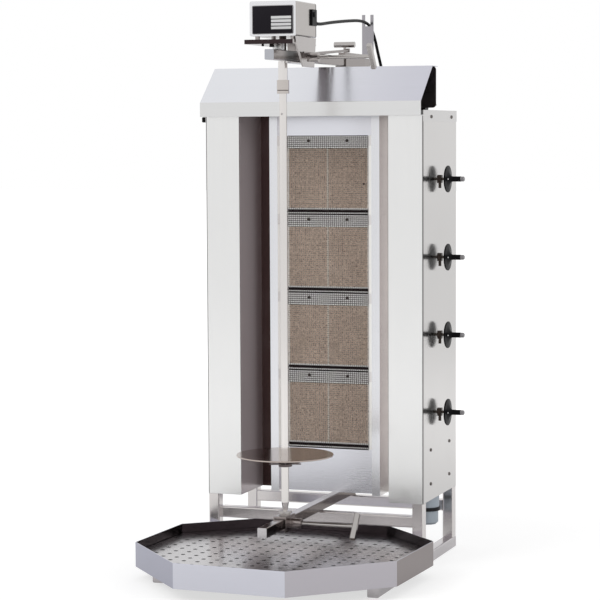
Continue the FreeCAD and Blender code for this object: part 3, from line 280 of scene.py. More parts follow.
def mixed(tree, factor, first, second, blend="MIX"):
    made = tree.nodes.new("ShaderNodeMix")
    made.data_type = "RGBA"
    made.blend_type = blend
    for socket, value in ((0, factor), (6, first), (7, second)):
        if isinstance(value, bpy.types.NodeSocket):
            tree.links.new(value, made.inputs[socket])
        elif socket == 0:
            made.inputs[socket].default_value = value
        else:
            made.inputs[socket].default_value = (*value, 1)
    return made.outputs[2]


def raised(tree, shader, height, distance, strength=1.0):
    made = node(tree, "ShaderNodeBump", Strength=strength, Distance=distance)
    tree.links.new(height, made.inputs["Height"])
    tree.links.new(made.outputs[0], shader.inputs["Normal"])


def new_finish(name, metallic=0.0, roughness=0.5):
    material = bpy.data.materials.new(name)
    material.use_nodes = True
    tree = material.node_tree
    shader = tree.nodes["Principled BSDF"]
    shader.inputs["Metallic"].default_value = metallic
    shader.inputs["Roughness"].default_value = roughness
    return material, tree, shader


def shades(colour, amount):
    return [tuple(min(1.0, c * (1 + side * amount)) for c in colour) for side in (-1, 1)]


# Finishes

grain_length = 5.0
grain_fine = 1500.0
grain_coarse = 300.0
grain_depth = 0.00002
line_contrast = 0.012
zone_contrast = 0.018
line_wear = 0.02
smudge_scale = 9.0
smudge_share = 0.05
smudge_tone = 0.8
smudge_wear = (-0.015, 0.025)
cloud_scale = 22.0
cloud_share = 0.25
cloud_tone = 0.7
cast_depth = 0.0001


def polished_lines(tree, grain, fineness):
    stretch = [fineness] * 3
    stretch["xyz".index(grain)] = grain_length
    return noise(tree, object_place(tree, stretch), 1.0, 2.0, 0.5)


def brushed_steel(name, colour, roughness, grain, zones=()):
    """Stainless sheet polished along one axis. zones are (mask maker, colour) pairs over it."""
    material, tree, shader = new_finish(name, metallic=1.0)
    fine = polished_lines(tree, grain, grain_fine)
    coarse = polished_lines(tree, grain, grain_coarse)
    lines = maths(tree, "MULTIPLY", maths(tree, "ADD", fine, coarse), 0.5)
    tint = spread(tree, lines, 0.35, 0.65)
    sheet = mixed(tree, tint, *shades(colour, line_contrast))
    for mask, zone_colour in zones:
        zone = mixed(tree, tint, *shades(zone_colour, zone_contrast))
        sheet = mixed(tree, mask(tree), sheet, zone)
    smudges = noise(tree, object_place(tree), smudge_scale, 3.0, 0.5)
    handled = mixed(tree, spread(tree, smudges, 0.5, 0.8, 0.0, smudge_share), sheet,
                    tuple(c * smudge_tone for c in colour))
    tree.links.new(handled, shader.inputs["Base Color"])
    polish = spread(tree, lines, 0.3, 0.7, roughness - line_wear, roughness + line_wear)
    wear = maths(tree, "ADD", polish, spread(tree, smudges, 0.4, 0.8, *smudge_wear))
    tree.links.new(wear, shader.inputs["Roughness"])
    raised(tree, shader, lines, grain_depth, 0.3)
    return material


def cast_or_turned(name, colour, roughness, metallic=1.0, speckle=0.08, scale=500.0):
    """Machined or cast metal with a fine grain in its colour, gloss and surface."""
    material, tree, shader = new_finish(name, metallic=metallic)
    grain = noise(tree, object_place(tree), scale, 4.0, 0.65)
    cloud = noise(tree, object_place(tree), cloud_scale, 3.0, 0.6)
    dark, light = shades(colour, speckle)
    base = mixed(tree, spread(tree, grain, 0.3, 0.7), dark, light)
    base = mixed(tree, spread(tree, cloud, 0.5, 0.8, 0.0, cloud_share), base,
                 tuple(c * cloud_tone for c in colour))
    tree.links.new(base, shader.inputs["Base Color"])
    tree.links.new(spread(tree, grain, 0.3, 0.7, roughness - 0.06, roughness + 0.08),
                   shader.inputs["Roughness"])
    raised(tree, shader, grain, cast_depth, 0.4)
    return material


black_shine = 0.07
plate_shine = 0.12
dust_colour = (0.2, 0.2, 0.19)
dust_scale = 40.0
dust_share = 0.05


def moulded_plastic(name, colour, roughness, scale=900.0, zones=()):
    material, tree, shader = new_finish(name)
    shader.inputs["Specular IOR Level"].default_value = black_shine
    grain = noise(tree, object_place(tree), scale, 3.0, 0.6)
    dust = noise(tree, object_place(tree), dust_scale, 4.0, 0.7)
    base = mixed(tree, spread(tree, grain, 0.3, 0.7), *shades(colour, 0.12))
    for mask, zone_colour in zones:
        base = mixed(tree, mask(tree), base, zone_colour)
    base = mixed(tree, spread(tree, dust, 0.7, 1.0, 0.0, dust_share), base, dust_colour)
    tree.links.new(base, shader.inputs["Base Color"])
    tree.links.new(spread(tree, dust, 0.3, 0.8, roughness - 0.04, roughness + 0.08),
                   shader.inputs["Roughness"])
    raised(tree, shader, grain, 0.00003, 0.3)
    return material


tile_hole_pitch = 0.0019
hole_depth = 0.0005
# The holes' dark colour is painted shade inside them.
painted_hole_shade = (0.34, 0.25, 0.205)
tile_dark = (0.78, 0.62, 0.51)
tile_light = (0.92, 0.75, 0.63)


def burner_ceramic(name):
    """Pierced ceramic: close rows of fine holes in a baked taupe tile."""
    material, tree, shader = new_finish(name, roughness=0.85)
    dots = node(tree, "ShaderNodeTexVoronoi", Scale=1.0, Randomness=0.12)
    dots.voronoi_dimensions = "3D"
    place = object_place(tree, (1 / tile_hole_pitch, 0, 1 / tile_hole_pitch))
    tree.links.new(place, dots.inputs["Vector"])
    holes = spread(tree, dots.outputs["Distance"], 0.22, 0.34, smooth=True)
    scorch = noise(tree, object_place(tree), 16.0, 5.0, 0.6)
    body = mixed(tree, spread(tree, scorch, 0.3, 0.7), tile_dark, tile_light)
    # The fine holes are painted dark as the shade inside them.
    base = mixed(tree, holes, painted_hole_shade, body)
    tree.links.new(base, shader.inputs["Base Color"])
    raised(tree, shader, holes, hole_depth, 0.6)
    return material


def lead_rubber(name):
    material, tree, shader = new_finish(name, roughness=0.45)
    shader.inputs["Specular IOR Level"].default_value = black_shine
    grain = noise(tree, object_place(tree), 320.0, 3.0, 0.6)
    base = mixed(tree, spread(tree, grain, 0.3, 0.7), (0.004, 0.004, 0.004), (0.010, 0.010, 0.011))
    tree.links.new(base, shader.inputs["Base Color"])
    tree.links.new(spread(tree, grain, 0.3, 0.7, 0.38, 0.55), shader.inputs["Roughness"])
    raised(tree, shader, grain, 0.0002, 0.3)
    return material


def give(finish, *names):
    for name in names:
        mesh = frame["nodes"][name].data
        mesh.materials.clear()
        mesh.materials.append(finish)


# Masks that pick a stretch of a part, in millimetres from the body's middle, front and floor

def beyond(axis, place, soft=0.4):
    """Mask that is 1 past a place along an axis."""
    start = getattr(body_origin, axis.lower()) + place * mm
    return lambda tree: part_of(tree, axis, start - soft / 2 * mm, start + soft / 2 * mm)


def before(axis, place, soft=0.4):
    past = beyond(axis, place, soft)
    return lambda tree: maths(tree, "SUBTRACT", 1.0, past(tree))


def both_masks(*masks):
    def joined(tree):
        value = masks[0](tree)
        for mask in masks[1:]:
            value = maths(tree, "MULTIPLY", value, mask(tree))
        return value
    return joined


def stretch_of(axis, start, end, soft=0.4):
    return both_masks(beyond(axis, start, soft), before(axis, end, soft))


def patch_of(low, high, soft=0.4):
    """Mask of a rectangle seen from the front, from (x, z) to (x, z)."""
    return both_masks(stretch_of("X", low[0], high[0], soft),
                      stretch_of("Z", low[1], high[1], soft))


spot_edge = 0.3


def spot(centre, radius):
    """Mask of a ball round a place."""
    def mask(tree):
        away = tree.nodes.new("ShaderNodeVectorMath")
        away.operation = "DISTANCE"
        tree.links.new(object_place(tree), away.inputs[0])
        away.inputs[1].default_value = at(*centre)
        return spread(tree, away.outputs["Value"], (radius - spot_edge) * mm,
                      (radius + spot_edge) * mm, 1.0, 0.0)
    return mask


# Finishes of the CAD nodes

# Painted shade and light in the pillars' recess: the walls inside it are painted darker as shade,
# and the back return is painted dark as shadow on the left and light on the right, as light falls
# there.
painted_recess_shade = (0.64, 0.575, 0.59)
painted_left_return_shadow = (0.085, 0.052, 0.05)
wall_metal = 0.35
painted_right_return_light = (0.97, 0.94, 0.91)
rear_return = 138.5
# The next colour is a painted highlight on the upper arm's front end face.
painted_end_light = (0.50, 0.51, 0.55)
shadow_brown = (0.045, 0.032, 0.034)
shadow_black = (0.012, 0.010, 0.010)
field_white = (0.80, 0.80, 0.80)
field_left = -3.4
field_right = 40.4
field_tops = (1185.4, 1178.2, 1171.0, 1163.8)
field_height = 5.4
plate_margin = 1.4
plate_corner = 3.6
dot_radius = 1.9
dot_reach = 14.0
dot_depth = 2.2
knob_dish = 5.0
knob_tip_length = 8.2
# Name of the tray's face colours of painted light and shade.
painted_face_tone = "painted_face_tone"

# Depths of faces and places of shadows, in millimetres. A shade is a start, an end and the
# width of its soft edge.
pillar_face = 2.0
arm_end = 0.6
arm_shade_at_head = (70.0, 150.0, 60.0)
arm_shade_at_hood = (190.0, 245.0, 30.0)
lip_face = 2.4
lip_height = 17.0
under_head = 10.5
cheek_width = 3.0
cheek_face = 2.7
box_front = 1.0
box_side = 0.8
box_shade = (-3.5, 1.0, 2.0)
# The side panels' first 6 mm from the front, with a soft edge of 5 mm, are painted dark as shadow
# of the gap by the pillars.
painted_side_gap_shadow = (6.0, 5.0)
channel_face = 0.7
hood_lip = 31.5
# The hood's slope is painted darker and bluer to the right as a painted reflection; the change is
# centred 60 mm right of the middle and spreads over 420 mm.
painted_hood_reflection = (60.0, 420.0)
lower_arm_side = 0.5
lower_arm_shade = (2.0, 60.0, 4.0)
coupling_ring = 6.8
coupling_ring_half = 0.8


def pillar_finishes():
    # Each pillar's recess walls and back return take painted shade and painted light, and the
    # walls are made less metallic.
    for side, back in (("left", painted_left_return_shadow), ("right", painted_right_return_light)):
        material = brushed_steel("%s_pillar_steel" % side, (0.885, 0.885, 0.88), 0.24, "z", zones=[
            (beyond("Y", pillar_face), painted_recess_shade), (beyond("Y", rear_return), back),
        ])
        tree = material.node_tree
        wall = stretch_of("Y", pillar_face, rear_return)(tree)
        tree.links.new(spread(tree, wall, 0, 1, 1.0, wall_metal),
                       tree.nodes["Principled BSDF"].inputs["Metallic"])
        give(material, "%s_pillar" % side)


def reach(start, bounds):
    """Mask of a stretch from front to back, with bounds counted from start and a soft edge."""
    return stretch_of("Y", start + bounds[0], start + bounds[1], bounds[2])


def motor_finishes():
    arm_low, arm_high = limits("upper_arm")
    bracket_high = limits("motor_bracket")[1]
    box_low, box_high = limits("motor_box")
    plate_low, plate_high = limits("box_plate")
    # Painted light and shade on the upper arm: its front end face is painted light, with painted
    # shadow along it by the head and painted shade by the hood.
    give(brushed_steel("upper_arm_steel", (0.30, 0.27, 0.26), 0.16, "y", zones=[
        (before("Y", arm_low.y + arm_end), painted_end_light),
        (reach(arm_low.y, arm_shade_at_head), shadow_black),
        (reach(arm_low.y, arm_shade_at_hood), (0.12, 0.10, 0.095)),
    ]), "upper_arm")
    # Painted shade on the bracket: a band of its cheek between the lip and the arm is painted
    # black, and its right face is painted lighter as light falls on it.
    painted_cheek_shade = both_masks(
        before("Z", bracket_high.z - lip_height), beyond("Z", arm_high.z + under_head),
        before("X", bracket_high.x - cheek_width))
    give(brushed_steel("bracket_steel", (0.40, 0.37, 0.36), 0.16, "z", zones=[
        (before("Y", arm_low.y + lip_face), shadow_brown),
        (painted_cheek_shade, shadow_black),
        (beyond("X", bracket_high.x - cheek_face), (0.50, 0.47, 0.46)),
    ]), "motor_bracket")
    # Painted light and shade on the motor box: its front face is painted lighter, its right side
    # darker, and a band at its back end black as shadow.
    give(brushed_steel("box_steel", (0.60, 0.59, 0.58), 0.20, "x", zones=[
        (before("Y", box_low.y + box_front), (0.86, 0.86, 0.88)),
        (beyond("X", box_high.x - box_side), (0.50, 0.47, 0.45)),
        (reach(box_high.y, box_shade), shadow_black),
    ]), "motor_box")
    give(brushed_steel("cover_steel", (0.52, 0.50, 0.49), 0.22, "x"), "motor_box_cover")
    fields = [
        (patch_of((field_left, top - field_height), (field_right, top)), field_white)
        for top in field_tops
    ]
    rim = both_masks(
        stretch_of("X", plate_low.x + plate_margin, plate_high.x - plate_margin),
        stretch_of("Z", plate_low.z + plate_margin, plate_high.z - plate_margin))
    give(printed_plate("plate_print", (0.012, 0.010, 0.014), (0.42, 0.41, 0.42), rim, fields),
         "box_plate")
    give(cast_or_turned("bush_dark", (0.07, 0.055, 0.05), 0.3), "head_bearings")
    give(cast_or_turned("motor_iron", (0.25, 0.24, 0.24), 0.5), "motor_stator", "motor_rotor")


def printed_plate(name, ground, border, inside, fields):
    """Dark anodised plate with a pale border and blank pale fields."""
    material, tree, shader = new_finish(name, roughness=0.3)
    shader.inputs["Specular IOR Level"].default_value = plate_shine
    grain = noise(tree, object_place(tree), 900.0, 2.0, 0.5)
    dark = mixed(tree, spread(tree, grain, 0.3, 0.7), *shades(ground, 0.2))
    base = mixed(tree, inside(tree), border, dark)
    for mask, colour in fields:
        base = mixed(tree, mask(tree), base, colour)
    tree.links.new(base, shader.inputs["Base Color"])
    tree.links.new(spread(tree, grain, 0.3, 0.7, 0.26, 0.36), shader.inputs["Roughness"])
    return material


def knob_finishes():
    for row in range(1, burner_rows + 1):
        low, high = limits("knob_%d" % row)
        middle = (low + high) / 2
        dot = (low.x + knob_dish + dot_depth, middle.y - dot_reach, middle.z)
        give(moulded_plastic("knob_plastic_%d" % row, (0.006, 0.006, 0.007), 0.34, zones=[
            (beyond("X", high.x - knob_tip_length), (0.36, 0.35, 0.36)),
            (spot(dot, dot_radius), (0.85, 0.85, 0.85)),
        ]), "knob_%d" % row)


def tray_steel():
    """Tray sheet whose faces take painted tones of light and shade, by the way each face looks."""
    material = brushed_steel("tray_steel", (0.80, 0.80, 0.80), 0.2, "x")
    tree = material.node_tree
    shader = tree.nodes["Principled BSDF"]
    sheet = shader.inputs["Base Color"].links[0].from_socket
    side = tree.nodes.new("ShaderNodeAttribute")
    side.attribute_name = painted_face_tone
    toned = mixed(tree, 1.0, sheet, side.outputs["Color"], "MULTIPLY")
    tree.links.new(toned, shader.inputs["Base Color"])
    return material


def finishes():
    pillar_finishes()
    motor_finishes()
    knob_finishes()
    channel_front = limits("burner_side_channels")[0].y
    side_front = limits("right_side_panel")[0].y
    hood_edge = limits("hood_front")[0].z + hood_lip
    # Painted shadow: the side panels are painted dark along their front edge, in the gap beside
    # the pillars.
    give(brushed_steel("side_steel", (0.67, 0.655, 0.645), 0.17, "z", zones=[
        (before("Y", side_front + painted_side_gap_shadow[0], painted_side_gap_shadow[1]), (0.20, 0.19, 0.19)),
    ]), "left_side_panel", "right_side_panel")
    give(brushed_steel("channel_steel", (0.84, 0.845, 0.875), 0.24, "z", zones=[
        (beyond("Y", channel_front + channel_face), (0.87, 0.84, 0.83)),
    ]), "burner_side_channels")
    give(brushed_steel("panel_steel", (0.82, 0.825, 0.88), 0.26, "x"),
         "blank_panels", "rear_panel", "floor_pan")
    # Painted light on the hood: the fascia below its edge is painted a plain grey for the light on
    # it, and the slope grows darker and bluer to the right as a painted reflection.
    give(brushed_steel("hood_steel", (0.87, 0.88, 0.92), 0.24, "x", zones=[
        (before("Z", hood_edge), (0.80, 0.80, 0.80)),
        (both_masks(beyond("X", *painted_hood_reflection), beyond("Z", hood_edge)), (0.68, 0.68, 0.755)),
    ]), "hood_front")
    give(brushed_steel("cover_steel_top", (0.66, 0.65, 0.645), 0.20, "x"), "top_cover")
    give(brushed_steel("hood_back_steel", (0.16, 0.14, 0.14), 0.3, "x"), "hood_back")
    give(brushed_steel("burner_steel", (0.97, 0.96, 0.935), 0.3, "x"),
         "perforated_strips", "burner_boxes")
    give(brushed_steel("frame_steel", (0.57, 0.54, 0.555), 0.2, "y"), "floor_runners")
    give(brushed_steel("leg_steel", (0.78, 0.745, 0.735), 0.2, "z"), "legs_and_rails", "arm_post")
    give(brushed_steel("sleeve_steel", (0.28, 0.25, 0.24), 0.16, "y"), "upper_sleeve", "arm_stay")
    arm_low, arm_high = limits("lower_arm")
    # Painted light and shade on the lower arm: its right side is painted dark, darker still near
    # the front as painted shadow, and its front end face is painted lighter.
    painted_arm_side_shade = beyond("X", arm_high.x - lower_arm_side)
    give(brushed_steel("arm_steel", (0.52, 0.49, 0.48), 0.16, "y", zones=[
        (painted_arm_side_shade, (0.13, 0.10, 0.09)),
        (both_masks(painted_arm_side_shade, reach(arm_low.y, lower_arm_shade)), (0.04, 0.028, 0.025)),
        (before("Y", arm_low.y + lower_arm_side), (0.62, 0.60, 0.61)),
    ]), "lower_arm")
    give(brushed_steel("saddle_steel", (0.34, 0.30, 0.29), 0.16, "z"), "lower_saddle")
    give(brushed_steel("fork_steel", (0.40, 0.385, 0.41), 0.2, "z"), "cable_fork")
    give(tray_steel(), "drip_tray")
    give(brushed_steel("insert_left_steel", (0.54, 0.525, 0.54), 0.2, "x"), "insert_left")
    give(brushed_steel("insert_right_steel", (0.53, 0.515, 0.53), 0.2, "x"), "insert_right")
    give(brushed_steel("spit_steel", (0.82, 0.79, 0.77), 0.13, "z"), "spit", "drive_shaft")
    ring = limits("drive_coupling")[0].z + coupling_ring
    give(brushed_steel("coupling_steel", (0.62, 0.575, 0.545), 0.13, "z", zones=[
        (stretch_of("Z", ring - coupling_ring_half, ring + coupling_ring_half),
         (0.05, 0.035, 0.03)),
    ]), "drive_coupling")
    give(cast_or_turned("disc_steel", (0.50, 0.435, 0.40), 0.12, speckle=0.03), "meat_disc")
    give(cast_or_turned("collar_steel", (0.12, 0.10, 0.10), 0.2), "disc_collar")
    give(cast_or_turned("tap_metal", (0.10, 0.085, 0.075), 0.3), "gas_valves", "gas_manifold")
    give(cast_or_turned("nut_dark", (0.05, 0.04, 0.035), 0.3, speckle=0.5, scale=260.0),
         "valve_nuts")
    give(cast_or_turned("venturi_zinc", (0.45, 0.44, 0.42), 0.4), "venturi_tubes")
    give(cast_or_turned("regulator_alloy", (0.42, 0.47, 0.52), 0.45, metallic=0.4),
         "gas_regulator")
    give(moulded_plastic("ring_plastic", (0.03, 0.03, 0.032), 0.4), "regulator_ring")
    give(moulded_plastic("black_plastic", (0.007, 0.007, 0.008), 0.3),
         "switch_block", "rocker_switch", "cable_gland", "mains_plug")
    give(cast_or_turned("screw_zinc", (0.16, 0.145, 0.14), 0.3), "panel_screws")
    give(cast_or_turned("turned_steel", (0.50, 0.475, 0.46), 0.14, speckle=0.03),
         "bearing_cup", "lower_clamp_screw", "head_clamp_screw", "sleeve_clamp_screw")
    give(cast_or_turned("guard_wire", (0.20, 0.165, 0.145), 0.35), "mesh_guards")
    give(burner_ceramic("burner_ceramic"), "ceramic_tiles")


# Making pieces

def add_piece(name, mesh, finish, body, slot, *stands_for):
    """A finished mesh as a piece that rides on its body and stands for some CAD nodes."""
    made = bpy.data.objects.new(name, mesh)
    bpy.context.scene.collection.objects.link(made)
    mesh.materials.clear()
    mesh.materials.append(finish)
    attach(made, body)
    if stands_for:
        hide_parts(*stands_for)
    return made


def block(shape, low, high):
    """A box between two corners."""
    start, end = at(*low), at(*high)
    place = Matrix.Translation((start + end) / 2) @ Matrix.Diagonal((*(end - start), 1))
    bmesh.ops.create_cube(shape, size=1, matrix=place)


def bar(shape, start, end, radius, end_radius=None, sides=24):
    """A round or many-sided bar between two places."""
    start, end = at(*start), at(*end)
    run = end - start
    turn = run.to_track_quat("Z", "Y").to_matrix().to_4x4()
    last = radius if end_radius is None else end_radius
    bmesh.ops.create_cone(shape, cap_ends=True, segments=sides, radius1=radius * mm,
                          radius2=last * mm, depth=run.length,
                          matrix=Matrix.Translation((start + end) / 2) @ turn)


edge_angle = math.radians(30)
crease_angle = math.radians(35)


def ease_edges(shape, width, segments=2):
    """Bevels every edge between faces that meet at more than the edge angle."""
    edges = [
        edge for edge in shape.edges if edge.is_manifold and edge.calc_face_angle() > edge_angle
    ]
    bmesh.ops.bevel(shape, geom=edges, affect="EDGES", offset=width * mm, segments=segments,
                    profile=0.5, material=-1, clamp_overlap=True)


def as_mesh(name, shape):
    bmesh.ops.recalc_face_normals(shape, faces=shape.faces)
    mesh = bpy.data.meshes.new(name)
    shape.to_mesh(mesh)
    shape.free()
    mesh.shade_smooth()
    mesh.set_sharp_from_angle(angle=crease_angle)
    return mesh


# Burner fronts

burner_rows = 4
burner_pitch = 175.0
tile_height = 133.0
strip_height = 28.5
wire_pitch = 4.6
wire_radius = 0.55
wire_swing = 0.6
wire_sides = 4
cloth_half = 94.0
cloth_depth = 1.3
cloth_top = 1.0
cloth_seam = 2.0
cloth_weld = 0.00001

# Lips and slots above and below each tile, in millimetres; dark strips of painted shade lie in the
# slots.
lips_below = (2.0, 11.5)
lip_above = 3.8
lip_half = 0.8
lip_reach = 1.2
slots_below = ((9.6, 4.2), (14.6, 13.0))
slot_reach = 0.4
top_slot = 1.2
strip_gap = 5.5
seam_half = 2.0
seam_front = 0.6
seam_back = 0.5
igniter_low = (83.6, 829.8)
igniter_high = (87.2, 833.6)
igniter_front = 6.0
igniter_back = 3.0
igniter_edge = 0.6


def wavy_wire(shape, length, place):
    """A wire with four sides that waves at each crossing; place turns its run into a point."""
    steps = round(length / wire_pitch)
    grid = bmesh.ops.create_grid(shape, x_segments=steps, y_segments=wire_sides, size=0.5)
    for vert in grid["verts"]:
        step = round((vert.co.x + 0.5) * steps)
        angle = (vert.co.y + 0.5) * 2 * math.pi
        vert.co = place(step * length / steps, (-1) ** step * wire_swing,
                        wire_radius * math.cos(angle), wire_radius * math.sin(angle))


def cloth_wire():
    """Steel wire, dark where it hangs before the strips and heated to taupe at the tiles."""
    material, tree, shader = new_finish("cloth_wire", metallic=0.6, roughness=0.4)
    grain = noise(tree, object_place(tree), 420.0, 3.0, 0.6)
    dark = mixed(tree, spread(tree, grain, 0.3, 0.7), (0.03, 0.022, 0.02), (0.08, 0.06, 0.055))
    heated = mixed(tree, spread(tree, grain, 0.35, 0.65), (0.10, 0.07, 0.055), (0.97, 0.88, 0.78))
    tiles_top = limits("ceramic_tiles")[1].z
    base = dark
    for row in range(burner_rows):
        top = tiles_top - burner_pitch * row
        base = mixed(tree, stretch_of("Z", top - tile_height, top, 1.0)(tree), base, heated)
    tree.links.new(base, shader.inputs["Base Color"])
    tree.links.new(spread(tree, grain, 0.3, 0.7, 0.32, 0.5), shader.inputs["Roughness"])
    return material


def wire_cloth(finish):
    """One woven panel for each burner; the first stands for the CAD guards."""
    tiles_top = limits("ceramic_tiles")[1].z
    depth = limits("mesh_guards")[0].y + cloth_depth
    columns = round(2 * cloth_half / wire_pitch)
    for row in range(burner_rows):
        top = tiles_top - burner_pitch * row + strip_height - cloth_top
        low = top - burner_pitch + cloth_seam
        shape = bmesh.new()
        rows = round((top - low) / wire_pitch)
        for column in range(columns + 1):
            x = -cloth_half + 2 * cloth_half * column / columns
            flip = (-1) ** column
            wavy_wire(shape, top - low, lambda run, wave, first, second, x=x, flip=flip: at(
                x + first, depth + second + wave * flip, low + run))
        for line in range(rows + 1):
            z = low + (top - low) * line / rows
            flip = -(-1) ** line
            wavy_wire(shape, 2 * cloth_half, lambda run, wave, first, second, z=z, flip=flip: at(
                -cloth_half + run, depth + second + wave * flip, z + first))
        bmesh.ops.remove_doubles(shape, verts=shape.verts, dist=cloth_weld)
        stands_for = ["mesh_guards"] if row == 0 else []
        add_piece("wire_cloth_%d" % (row + 1), as_mesh("wire_cloth", shape), finish, "grill",
                  "mesh_steel", *stands_for)


def burner_fronts():
    tiles_low, tiles_high = limits("ceramic_tiles")
    face = limits("mesh_guards")[1].y
    strip_low, strip_high = limits("perforated_strips")
    lips = bmesh.new()
    shade_blocks = bmesh.new()
    strips = bmesh.new()
    seams = bmesh.new()
    for row in range(burner_rows):
        top = tiles_high.z - burner_pitch * row
        bottom = top - tile_height
        for z in (*(bottom - drop for drop in lips_below), top + lip_above):
            block(lips, (-cloth_half, face - lip_reach, z - lip_half),
                  (cloth_half, face, z + lip_half))
        # Dark strips of painted shade in the slots below each tile, and one at the top.
        for low, high in slots_below:
            block(shade_blocks, (-cloth_half, face - slot_reach, bottom - low),
                  (cloth_half, face, bottom - high))
        block(strips, (strip_low.x, strip_low.y, top + strip_gap),
              (strip_high.x, strip_high.y, top + strip_height))
        block(seams, (-seam_half, tiles_low.y - seam_front, bottom),
              (seam_half, tiles_low.y + seam_back, top))
    top = tiles_high.z + strip_height
    block(shade_blocks, (-cloth_half, face - slot_reach, top - top_slot), (cloth_half, face, top))
    add_piece("burner_lips", as_mesh("burner_lips", lips),
              cast_or_turned("lip_steel", (0.72, 0.71, 0.70), 0.3), "grill", "body_steel")
    add_piece("burner_slot_shadows", as_mesh("burner_slot_shadows", shade_blocks),
              cast_or_turned("slot_shadow", (0.02, 0.016, 0.02), 0.6), "grill", "body_steel")
    add_piece("burner_strips", as_mesh("burner_strips", strips),
              brushed_steel("strip_steel", (0.84, 0.82, 0.81), 0.3, "x"), "grill", "body_steel",
              "perforated_strips")
    add_piece("tile_seams", as_mesh("tile_seams", seams),
              moulded_plastic("seam_cement", (0.92, 0.88, 0.82), 0.7), "grill", "ceramic")
    spark = bmesh.new()
    block(spark, (igniter_low[0], face - igniter_front, igniter_low[1]),
          (igniter_high[0], face - igniter_back, igniter_high[1]))
    ease_edges(spark, igniter_edge)
    add_piece("igniter_tip", as_mesh("igniter_tip", spark),
              moulded_plastic("igniter_dark", (0.03, 0.028, 0.027), 0.5), "grill", "body_steel")


# Screw heads

head_radius = 4.0
head_taper = 0.86
head_height = 2.1
head_edge = 0.7
recess_width = 0.9
recess_reach = 2.3
recess_depth = 0.3
recess_rise = 0.06

# Places of the screws: insets from the front and the back, heights and drops
side_insets = (62.0, 56.0)
side_heights = (111.0, 36.0)
cover_insets = (63.0, 43.0)
cover_drop = 14.25
strip_screws = (-45.0, 45.0)


def screw_head(heads, shade_blocks, place, direction):
    """Pan head with a cross recess, on a surface point, pointing along an axis."""
    start = Vector(place)
    way = Vector(direction)
    tip = start + way * head_height
    shape = bmesh.new()
    bar(shape, start, tip, head_radius, head_radius * head_taper, 20)
    ease_edges(shape, head_edge, 3)
    mesh = bpy.data.meshes.new("head")
    shape.to_mesh(mesh)
    shape.free()
    heads.from_mesh(mesh)
    bpy.data.meshes.remove(mesh)
    side = Vector((0, 0, 1))
    across = way.cross(side)
    # The cross recess is made of dark blocks of painted shade.
    for long, short in ((side, across), (across, side)):
        half = long * recess_reach + short * recess_width / 2
        half = Vector([abs(c) for c in half])
        block(shade_blocks, tip - half - way * recess_depth, tip + half + way * recess_rise)


def screws():
    heads = bmesh.new()
    shade_blocks = bmesh.new()
    panel_low, panel_high = limits("right_side_panel")
    cover_top = limits("top_cover")[1]
    tiles_top = limits("ceramic_tiles")[1].z
    strip_front = limits("mesh_guards")[1].y
    for side in (-1, 1):
        for y in (side_insets[0], cover_top.y - side_insets[1]):
            for height in side_heights:
                screw_head(heads, shade_blocks, (side * panel_high.x, y, panel_low.z + height),
                           (side, 0, 0))
        for y in (cover_insets[0], cover_top.y - cover_insets[1]):
            screw_head(heads, shade_blocks, (side * cover_top.x, y, cover_top.z - cover_drop),
                       (side, 0, 0))
    for row in range(burner_rows):
        z = tiles_top - burner_pitch * row + (strip_gap + strip_height) / 2
        for x in strip_screws:
            screw_head(heads, shade_blocks, (x, strip_front, z), (0, -1, 0))
    add_piece("screw_heads", as_mesh("screw_heads", heads),
              cast_or_turned("screw_zinc_head", (0.20, 0.18, 0.17), 0.25), "grill", "screw_steel",
              "panel_screws")
    add_piece("screw_recess_shadows", as_mesh("screw_recess_shadows", shade_blocks),
              cast_or_turned("recess_shadow", (0.01, 0.009, 0.009), 0.7), "grill", "screw_steel")


# Small fittings of the hood and the head, and a block of painted shadow under the hood

# The block these numbers make, beside the top cover's left flange under the hood, is black painted
# shadow.
flange_shadow_width = 9.0
flange_shadow_front = 0.5
flange_shadow_back = 26.0
flange_shadow_drop = 12.0
flange_shadow_gap = 0.2
flange_shadow_edge = 2.6
bracket_gap = 10.7
nut_y = -240.0
spacer_low = (-10.2, -222.3)
spacer_high = (10.2, -204.7)
spacer_gap = 0.1
spacer_edge = 0.8
ring_count = 5
ring_start = 8.0
ring_pitch = 3.6
ring_width = 1.8
ring_radius = 6.9
ring_taper = 0.38
small_edge = 0.4

# Nut and bolt end under the bracket: place across, height, radius and number of sides
nuts_under = ((-5.0, 5.6, 5.2, 6), (-24.9, 3.6, 2.6, 16))


